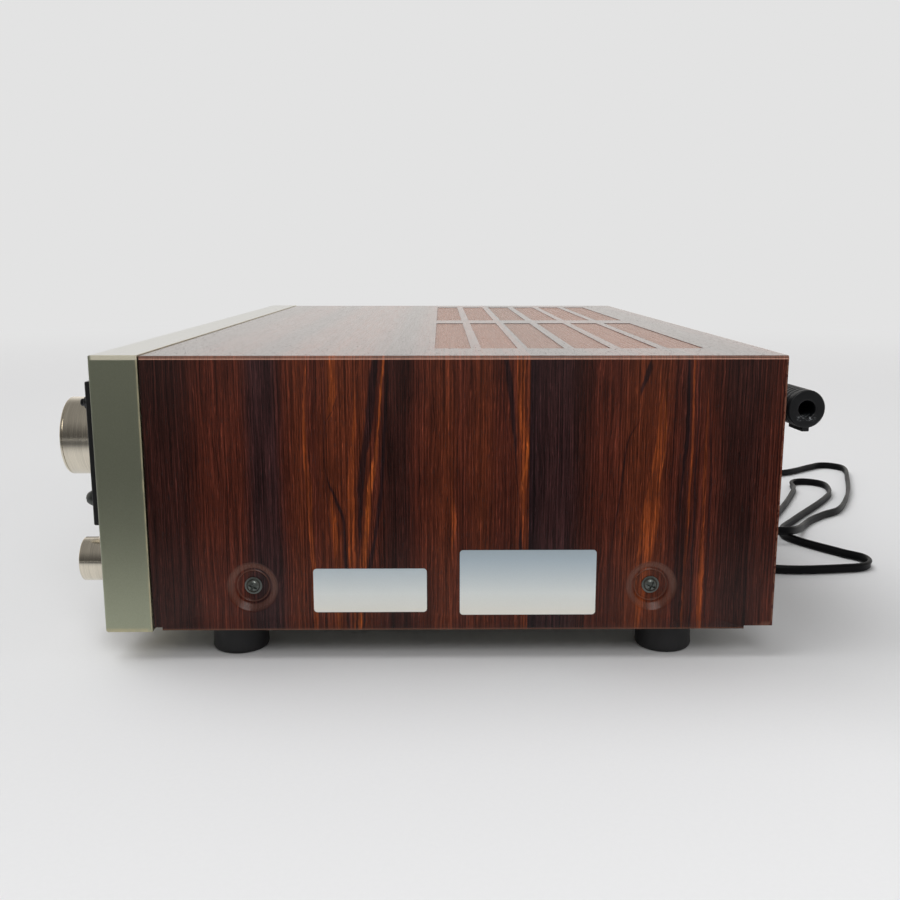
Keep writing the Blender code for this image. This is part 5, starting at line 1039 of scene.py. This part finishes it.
def make_row_knobs():
    """The knobs of the lower row, each on its shaft, with a painted index mark."""
    start = PANEL_LOW.y - KNOB_CLEARANCE
    for name, *_ in KNOB_SCALES:
        low, high, middle = extent(name)
        radius = high.x - middle.x
        shaft = [(CONTROL_SHAFT, start - high.y), (CONTROL_SHAFT, 0.0)]
        profile = knob_profile(shaft, radius, start - low.y, [], KNOB_RIM / 2, KNOB_GROOVE)
        shape = turned(profile, (middle.x, start, middle.z), TO_FRONT, 112)
        body = NODES[name]["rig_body"]
        piece(name + "_turned", shape, TURNED_SMALL, body, (name,))
        left, right = middle.x - INDEX_WIDTH / 2, middle.x + INDEX_WIDTH / 2
        face, side, top = low.y + KNOB_GROOVE, low.y + KNOB_FILLET, middle.z + radius
        mark = box((left, face - PRINT, middle.z + radius * INDEX_START),
                   (right, face + PRINT, top - KNOB_RIM / 2 - KNOB_GROOVE))
        box((left, side, top - PRINT * 3), (right, side + INDEX_LENGTH, top + PRINT), mark)
        piece(name + "_mark", mark, INK, body)


def make_panel_print():
    """Plain scales and numbers round the knobs of the lower row."""
    shape = bmesh.new()
    for name, sweep, count, numbered in KNOB_SCALES:
        low, high, middle = extent(name)
        start = high.x - middle.x + SCALE_START
        for index in range(count):
            angle = math.radians(-sweep + 2 * sweep * index / (count - 1))
            reach = SCALE_TICK * (1.5 if index == (count - 1) / 2 else 1.0)
            spoke(shape, middle, angle, start, start + reach, SCALE_LINE, PANEL_LOW.y)
            if numbered:
                out = start + SCALE_TICK * 1.5 + NUMBER_SIZE * 0.75
                number(shape, index, toward(middle, angle, out), NUMBER_SIZE, PANEL_LOW.y)
    piece("panel_scales", shape, INK, smooth=False)


def make_dial_print():
    """Lines, ticks and numbers of the tuning dial."""
    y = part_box("dial_scale")[0].y
    left = DIAL_MIDDLE - DIAL_HALF
    shape = bmesh.new()
    for z, ticks, numbers, side in DIAL_ROWS:
        strip(shape, DIAL_MIDDLE, z, DIAL_HALF * 2, PRINT_LINE, y)
        for index in range(ticks + 1):
            reach = SHORT_TICK if index % 5 else DIAL_LONG_TICK
            strip(shape, left + DIAL_HALF * 2 * index / ticks, z + side * reach / 2, DIAL_LINE, reach, y)
        for index, value in enumerate(numbers):
            x = left + DIAL_HALF * 2 * (index + 0.5) / len(numbers)
            number(shape, value, (x, z + side * DIAL_NUMBER_PLACE), DIAL_NUMBER_SIZE, y)
    piece("dial_print", shape, INK, smooth=False)


def make_meter_faces():
    """Cards with arcs, ticks and numbers on the floors of the meters' recesses."""
    wall = METER_WALL + PRINT
    for name, numbered, sweep, start, end in METERS:
        low, high, middle = extent(name)
        floor = low.y + METER_RECESS
        face = floor - PRINT
        pivot = Vector((middle.x, 0.0, low.z + NEEDLE_PIVOT_HEIGHT))
        card = box((low.x + wall, face, low.z + wall), (high.x - wall, floor, high.z - wall))
        piece(name + "_card", card, METER_FACE)
        half = math.radians(sweep)
        shape = bmesh.new()
        arc_band(shape, pivot, -half, half, METER_ARC, METER_ARC + PRINT_LINE, face)
        for index in range(METER_TICKS + 1):
            angle = -half + 2 * half * index / METER_TICKS
            reach = SHORT_TICK if index % 2 else METER_LONG_TICK
            spoke(shape, pivot, angle, METER_ARC, METER_ARC + reach, PRINT_LINE, face)
            if numbered and index % 2 == 0:
                place = toward(pivot, angle, METER_ARC + METER_NUMBER_PLACE)
                number(shape, index // 2, place, NUMBER_SIZE, face)
        piece(name + "_print", shape, INK, smooth=False)
        red = bmesh.new()
        arc_band(red, pivot, half * start, half * end, METER_ARC - ZONE_INNER, METER_ARC - ZONE_OUTER, face)
        piece(name + "_zone", red, CARD_RED, smooth=False)


def make_bolts():
    """Bolts that hold the black plate at its four corners: nuts above, domes below."""
    for side, end in ((-1, "left"), (1, "right")):
        x = side * (PLATE_HIGH.x - BOLT_FROM_END)
        top = (x, PLATE_LOW.y, PLATE_HIGH.z - BOLT_FROM_EDGE)
        nut = bmesh.new()
        for shares, steps in ((NUT, 6), (STUD, 24)):
            profile = [(BOLT_RADIUS * wide, BOLT_REACH * far) for wide, far in shares]
            turned(profile, top, TO_FRONT, steps, nut)
        piece("plate_nut_" + end, nut, BLACK_SCREW, edge=THIN_EDGE)
        dome = bmesh.new()
        screw_head(dome, (x, PLATE_LOW.y, PLATE_LOW.z + DOME_FROM_EDGE), TO_FRONT, DOME_RADIUS, DOME_REACH)
        piece("plate_screw_" + end, dome, DOME_STEEL)


# Feet and cover screws

def make_feet():
    """Turned rubber feet with a rounded lower edge."""
    for name in ("foot_front_left", "foot_front_right", "foot_rear_left", "foot_rear_right"):
        low, high, middle = extent(name)
        radius = high.x - middle.x
        profile = [*FOOT_BORE, *rounded(radius - FOOT_FILLET, FOOT_FILLET, FOOT_FILLET, -90, 0),
                   (radius - FOOT_TAPER, high.z)]
        shape = turned(profile, (middle.x, middle.y, 0.0), (0.0, 0.0, 1.0), 64)
        piece(name + "_rubber", shape, RUBBER, replaced=(name,))


def make_cover_screws():
    """Screws with washers in the four dishes."""
    seat = HALF_COVER - DISH_DEPTH
    for side, hand in ((1, "_right"), (-1, "_left")):
        for y, end in zip(DISH_PLACES, ("front", "rear")):
            name = "cover_screw_" + end + hand
            low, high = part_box(name)
            centre = (side * seat, y, DISH_MIDDLE)
            inner, outer = sorted((abs(low.x), abs(high.x)))
            shape = bmesh.new()
            outward = (side, 0.0, 0.0)
            radius = (high.y - low.y) / 2 - SCREW_EASE
            screw_head(shape, centre, outward, radius, outer - seat, SCREW_WASHER)
            turned([(SCREW_SHANK, inner - seat), (SCREW_SHANK, 0.0)], centre, outward, 24, shape)
            piece(name + "_head", shape, COVER_SCREW, replaced=(name,))


# Antenna

def make_antenna():
    """The ribbed rod with its hollow end, its tongue and its tab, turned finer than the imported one."""
    low, high, middle = extent("antenna_bracket")
    pivot = Vector((middle.x, high.y - BRACKET_HALF, middle.z))
    start = BRACKET_HALF + RUNNING_GAP
    radius = ANTENNA_RADIUS
    floor = ANTENNA_LENGTH - ANTENNA_BORE_DEPTH
    profile = [(radius - RIB_DEPTH, start), (radius, start + RIB_DEPTH), (radius, ANTENNA_COLLAR)]
    for rib in range(int((ANTENNA_LENGTH - ANTENNA_COLLAR - RIB_PITCH / 2) / RIB_PITCH)):
        base = ANTENNA_COLLAR + RIB_PITCH * rib
        profile += [(radius - RIB_DEPTH * rise, base + RIB_PITCH * share) for share, rise in RIB_SHAPE]
    profile += rounded(radius - END_FILLET, ANTENNA_LENGTH - END_FILLET, END_FILLET, 0, 90, 4)
    profile += rounded(ANTENNA_BORE + BORE_FILLET, ANTENNA_LENGTH - BORE_FILLET, BORE_FILLET, 90, 180, 4)
    profile += [(ANTENNA_BORE, floor), (PIN_HOLE, floor)]
    shape = turned(profile, pivot, (math.cos(ANTENNA_ANGLE), math.sin(ANTENNA_ANGLE), 0.0), 72)
    turn = Matrix.Translation(pivot) @ Matrix.Rotation(ANTENNA_ANGLE, 4, "Z")
    tongue = BRACKET_HALF - BRACKET_EAR
    extras = box((-BRACKET_HALF, -tongue, -TONGUE_HALF), (start + RIB_DEPTH, tongue, TONGUE_HALF), None, turn)
    box((ANTENNA_LENGTH - ANTENNA_COLLAR, -TAB_WIDTH / 2, -radius - TAB_DROP),
        (ANTENNA_LENGTH - TAB_SHORT, TAB_WIDTH / 2, -radius + RIB_DEPTH * 2), extras, turn)
    piece("antenna_rod_ribbed", shape, ANTENNA_BLACK, "antenna", ("antenna_rod",))
    piece("antenna_tongue_and_tab", extras, ANTENNA_BLACK, "antenna", edge=TONGUE_EDGE)
    refined("antenna_bracket", BROAD_EDGE)


# Rear

def spread(middle, width, count):
    """Middles of equal places in a row."""
    return [middle + width * ((place + 0.5) / count - 0.5) for place in range(count)]


def make_jack_sleeves():
    """Metal sleeves and coloured insulators on the input sockets."""
    low, high, middle = extent("input_jacks")
    sleeves, upper, lower = bmesh.new(), bmesh.new(), bmesh.new()
    for row, insulators in ((1, upper), (-1, lower)):
        for x in spread(middle.x, JACK_WIDTH, JACK_COLUMNS):
            place = (x, high.y - JACK_LENGTH, middle.z + row * JACK_ROW)
            turned(JACK_SLEEVE, place, TO_REAR, 40, sleeves, True)
            turned(JACK_INSULATOR, place, TO_REAR, 32, insulators, True)
    piece("jack_sleeves", sleeves, ZINC)
    piece("jack_insulators_top", upper, SOCKET_WHITE)
    piece("jack_insulators_low", lower, SOCKET_RED)


def make_terminal_trim():
    """Coloured caps on the speaker keys and slotted screws on the aerial terminals."""
    low, high, middle = extent("speaker_terminals")
    caps = (bmesh.new(), bmesh.new())
    for key, x in enumerate(spread(middle.x, SPEAKER_WIDTH, SPEAKER_KEYS)):
        box((x - KEY_HALF, high.y - KEY_DEPTH, middle.z - KEY_FILM),
            (x + KEY_HALF, high.y + KEY_PROUD, middle.z + KEY_HEIGHT), caps[key % 2])
    piece("speaker_caps_red", caps[0], KEY_RED, edge=BROAD_EDGE)
    piece("speaker_caps_black", caps[1], PLASTIC, edge=BROAD_EDGE)
    low, high, middle = extent("aerial_terminals")
    heads = bmesh.new()
    for x in spread(middle.x, AERIAL_WIDTH, AERIAL_SCREWS):
        screw_head(heads, (x, high.y - AERIAL_SEAT, middle.z), TO_REAR, AERIAL_HEAD_RADIUS, AERIAL_HEAD)
    piece("aerial_screw_heads", heads, ZINC)


def make_strain_relief():
    """The tapered, grooved sleeve where the cord leaves the rear panel."""
    low, high, middle = extent("strain_relief")
    start = high.y - RELIEF_LENGTH
    profile = [(RELIEF_NECK, low.y - start), (RELIEF_NECK, 0.0), (RELIEF_HEAD_RADIUS, 0.0),
               (RELIEF_HEAD_RADIUS, RELIEF_HEAD)]
    for groove in range(RELIEF_GROOVES):
        for share, sunk in ((0.1, 0.0), (0.62, 0.0), (0.68, 1.0), (0.94, 1.0)):
            along = (groove + share) / RELIEF_GROOVES
            radius = RELIEF_RADIUS + (RELIEF_TIP - RELIEF_RADIUS) * along - RELIEF_GROOVE * sunk
            profile.append((radius, RELIEF_HEAD + (RELIEF_LENGTH - RELIEF_HEAD) * along))
    profile.append((RELIEF_TIP, RELIEF_LENGTH))
    shape = turned(profile, (middle.x, start, middle.z), TO_REAR, 40)
    piece("strain_relief_sleeve", shape, RUBBER, replaced=("strain_relief",))


# Mains cord. Its route is given behind the cover's rear edge, above the surface that the receiver
# stands on. It runs behind the rear panel, makes the loops that show at the far side, and ends at the coil.
# A point is in millimetres, and one without a height lies on the surface.
CORD_ROUTE = (
    (-214.6, 16.6, 35), (-214.6, 24.5, 34.5), (-212, 37, 25.5), (-202, 44, 11.5), (-185, 45.5, 3.6),
    (-168, 44), (-120, 39), (50, 23), (98, 24.5), (119.5, 43), (118, 94), (111.5, 106), (98.5, 108.5),
    (87.5, 100), (54, 79), (34, 78), (8, 95), (-70, 151), (-103, 162), (-116, 158.5), (-121, 146.5),
    (-113, 136.5), (-92, 131.5), (-8, 88.5), (19, 69), (30, 62, 3.8), (42, 58, 6.4), (53.5, 63, 8.6),
    (56, 74.5, 9.2), (46.5, 84.5, 7.4), (24, 96.8, 3.6), (6, 109), (-9, 123.5), (-23, 140), (-53.2, 157.7),
    (-92.5, 175.9), (-135.9, 192.6), (-170, 204), (-183, 201.5), (-188.5, 190), (-180, 176.5), (-158, 148),
    (-150, 123))
TAIL_ROUTE = (
    (-148, 68, 8), (-137, 58, 4.6), (-122, 57.5, 3.1), (-107, 66, 3.4), (-96, 78, 5.4), (-86, 86, 7.8))
COIL_ENTRY = (-150, 90)
PLUG_REAR = (-72, 88, 8.8)


def route_point(x, behind, height=CORD_REST):
    """A point of the cord's route, given in millimetres, in the part's frame."""
    return Vector((x * MM, REAR + behind * MM, height * MM))


def smooth_route(points):
    """Points along a smooth curve through the given ones."""
    ends = [points[0], *points, points[-1]]
    tangents = [(after - before).normalized() for before, after in zip(ends, ends[2:])]
    result = []
    for here, there, leaving, arriving in zip(points, points[1:], tangents, tangents[1:]):
        bend = math.sqrt(max(0.0, 1.0 + leaving.dot(arriving)) / 2)
        reach = (there - here).length * 2 / (1 + bend)
        for step in range(ROUTE_STEPS):
            t = step / ROUTE_STEPS
            blend = 3 * t ** 2 - 2 * t ** 3
            result.append(here * (1 - blend) + leaving * reach * (t ** 3 - 2 * t ** 2 + t)
                          + there * blend + arriving * reach * (t ** 3 - t ** 2))
    return result + [points[-1]]


def coil_points(entry):
    """The coil: it winds in on the surface, climbs a layer, and winds out again on top of itself."""
    half = CORD_LOOPS / 2
    centre = entry - Vector((COIL_RADIUS, 0.0, 0.0))
    stub = Vector((0.0, CORD_WIDTH, 0.0))
    count = int(CORD_LOOPS * COIL_POINTS)
    points = [entry + stub]
    for index in range(count + 1):
        turns = CORD_LOOPS * index / count
        radius = COIL_RADIUS - CORD_CLEAR * (min(turns, half) - max(turns - half, 0.0))
        climb = min(max((turns - half) * 2 + 0.5, 0.0), 1.0)
        angle = -math.tau * turns
        offset = Vector((radius * math.cos(angle), radius * math.sin(angle), CORD_CLEAR * climb))
        points.append(centre + offset)
    points.append(points[-1] - stub)
    return points


def cord_path():
    """The whole cord's centreline: the loose part, the coil and the tail to the plug."""
    coil = coil_points(route_point(*COIL_ENTRY))
    along = Vector((0.0, CORD_WIDTH, 0.0))
    plug = route_point(*PLUG_REAR)
    neck = Vector((CORD_WIDTH, 0.0, 0.0))
    loose, tail = [[route_point(*point) for point in route] for route in (CORD_ROUTE, TAIL_ROUTE)]
    path = smooth_route(loose + [coil[0] + along, coil[0]])
    path += coil[1:-1]
    path += smooth_route([coil[-1], coil[-1] - along] + tail + [plug - neck, plug])
    clean = path[:1]
    for point in path[1:]:
        if (point - clean[-1]).length > CORD_SPACING / 2:
            clean.append(point)
    return clean


def cord_section():
    """The flat twin cord's section: two round lobes and the shallow grooves between them."""
    radius = CORD_THICKNESS / 2
    lobe = CORD_WIDTH / 2 - radius
    points = []
    for side in (1, -1):
        for angle in LOBE_ANGLES:
            turn = math.radians(angle)
            points.append((side * (lobe + radius * math.cos(turn)), side * radius * math.sin(turn)))
        points.append((0.0, side * CORD_WEB / 2))
    return points


def make_plug_blades():
    """Metal faces of the plug's two blades."""
    low, high, middle = extent("mains_plug")
    thick = BLADE_HALF_THICKNESS + BLADE_FILM
    tall = BLADE_HALF_HEIGHT + BLADE_FILM
    shape = bmesh.new()
    for y in (middle.y - BLADE_SPACING / 2, middle.y + BLADE_SPACING / 2):
        box((high.x - BLADE_REACH, y - thick, PLUG_REAR[2] * MM - tall),
            (high.x + BLADE_FILM, y + thick, PLUG_REAR[2] * MM + tall), shape)
    return piece("plug_blades", shape, ZINC, edge=THIN_EDGE)


def make_cord():
    """The flat cord, on edge along its whole path, with the plug at its end."""
    path = cord_path()
    section = cord_section()
    shape = bmesh.new()
    rings = []
    travelled = 0.0
    for before, point, after in zip(path[:1] + path, path, path[1:] + path[-1:]):
        along = (after - before).normalized()
        travelled += (point - before).length
        tilt = Matrix.Rotation(CORD_TILT * math.sin(travelled / CORD_TILT_LENGTH), 3, along)
        wide = tilt @ (Vector((0.0, 0.0, 1.0)) - along * along.z).normalized()
        thick = along.cross(wide)
        rings.append([shape.verts.new(point + wide * u + thick * v) for u, v in section])
    skin(shape, rings)
    cord = piece("mains_cord_flat", shape, JACKET,
                 replaced=("mains_cord", "cord_coil", "cord_tail"))
    plug = refined("mains_plug", PLUG_EDGE)
    blades = make_plug_blades()


# Floor, light and camera

def make_stage():
    """A pale floor, and an even backdrop that only the camera sees. The floor's reflections are painted
    darker toward the camera's side, as painted shade.
    """
    white, black = (255, 255, 255), (0, 0, 0)
    paper = Surface("pale_paper", FLOOR_TONE, 0.9, Specular_IOR_Level=0.0)
    # Painted shade, seen only in reflections: the floor is darker toward the camera's side.
    mirrored = paper.add("LightPath", output="Is Glossy Ray")
    reflected_floor_shade = paper.parts(paper.place)[0].span(0.27, 0.52, 0.95, 0.14, smooth=True)
    sheet = paper.shaded(FLOOR_TONE, paper.texture(0.002).span(0.3, 0.7, 0.995, 1.005))
    away = paper.add("VectorMath", {0: paper.place}, "Value", operation="LENGTH")
    fade = away.span(0.8, 2.3, smooth=True)
    shade = paper.mix(1.0, paper.mix(mirrored, white, reflected_floor_shade), paper.mix(fade, white, black), "MULTIPLY")
    paper.set(Base_Color=paper.mix(1.0, sheet, shade, "MULTIPLY"), Emission_Color=BACKDROP_TONE,
              Emission_Strength=fade)
    even = Surface("even_backdrop", black, 0.9, Specular_IOR_Level=0.0, Emission_Strength=1.0,
                   Emission_Color=BACKDROP_TONE)
    disc = bmesh.new()
    bmesh.ops.create_circle(disc, cap_ends=True, radius=FLOOR_RADIUS, segments=STAGE_STEPS)
    profile = rounded(FLOOR_RADIUS, BACKDROP_CURVE, BACKDROP_CURVE, -90, 0, 24)
    profile += [(FLOOR_RADIUS + BACKDROP_CURVE, BACKDROP_HEIGHT)]
    ring = turned(profile, (0.0, 0.0, 0.0), (0.0, 0.0, 1.0), STAGE_STEPS)
    bmesh.ops.delete(ring, geom=[face for face in ring.faces if len(face.verts) > 4], context="FACES_ONLY")
    floor = as_object("floor", disc, paper.material)
    backdrop = as_object("backdrop", ring, even.material)
    for ray in ("diffuse", "glossy", "shadow", "transmission"):
        setattr(backdrop, "visible_" + ray, False)


def make_world():
    """Soft room light: bright low behind the receiver, dimmer overhead, dim on the camera's side."""
    world = bpy.data.worlds.new("room")
    bpy.context.scene.world = world
    world.use_nodes = True
    room = Nodes(world.node_tree)
    x, y, z = room.parts(room.add("TexCoord", output="Generated"))
    behind = z.span(0.25, 0.85, WORLD_BEHIND, WORLD_OVERHEAD, smooth=True)
    ahead = z.span(0.05, 0.95, WORLD_AHEAD, WORLD_OVERHEAD, smooth=True)
    background = room.tree.nodes["Background"]
    room.join(background.inputs["Color"], WORLD_TONE)
    room.join(background.inputs["Strength"], x.span(-0.15, 0.8, behind, ahead, smooth=True))


def aim(obj, place, direction):
    """Puts a light or the camera in its place, turned to a direction."""
    obj.location = place
    obj.rotation_euler = direction.to_track_quat("-Z", "Y").to_euler()
    bpy.context.scene.collection.objects.link(obj)


def make_lights():
    """A broad soft light high on the front's side, and a small lamp above the camera."""
    data = bpy.data.lights.new("overhead", "SUN")
    data.angle = OVERHEAD_SPREAD
    data.energy = OVERHEAD_STRENGTH
    overhead = bpy.data.objects.new("overhead", data)
    overhead.visible_glossy = False
    aim(overhead, OVERHEAD_PLACE, -OVERHEAD_PLACE)
    data = bpy.data.lights.new("lamp", "AREA")
    data.shape = "DISK"
    data.size = LAMP_SIZE
    data.energy = LAMP_POWER
    aim(bpy.data.objects.new("lamp", data), LAMP_PLACE, -LAMP_PLACE)


def make_camera():
    """The camera at the photograph's place and angle."""
    data = bpy.data.cameras.new("camera")
    data.lens = CAMERA_LENS
    data.sensor_width = CAMERA_SENSOR
    camera = bpy.data.objects.new("camera", data)
    flat = math.cos(CAMERA_PITCH)
    aim(camera, CAMERA_PLACE,
        Vector((-math.cos(CAMERA_YAW) * flat, -math.sin(CAMERA_YAW) * flat, -math.sin(CAMERA_PITCH))))
    bpy.context.scene.camera = camera
    bpy.context.scene.view_settings.view_transform = "Standard"


def dress_the_rest():
    """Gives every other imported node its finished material, with broken edges where they show."""
    for name in ("dial_plate", "power_button", "loudness_button", "tape_button", "headphone_socket",
                 "rear_panel", "input_jacks", "speaker_terminals", "aerial_terminals", "mains_outlet"):
        refined(name, FINE_EDGE)
    for node in NODES.values():
        if node.hide_render:
            continue
        for slot in node.material_slots:
            slot.material = SLOT_MATERIALS[slot.material.name]


make_camera()
make_stage()
make_world()
make_lights()
make_cord()
make_cover()
make_vent_screens()
make_labels()
refined("front_panel", FINE_EDGE)
make_tuning_knob()
make_row_knobs()
make_panel_print()
make_dial_print()
make_meter_faces()
make_bolts()
make_feet()
make_cover_screws()
make_antenna()
make_jack_sleeves()
make_terminal_trim()
make_strain_relief()
dress_the_rest()

bpy.context.view_layer.update()
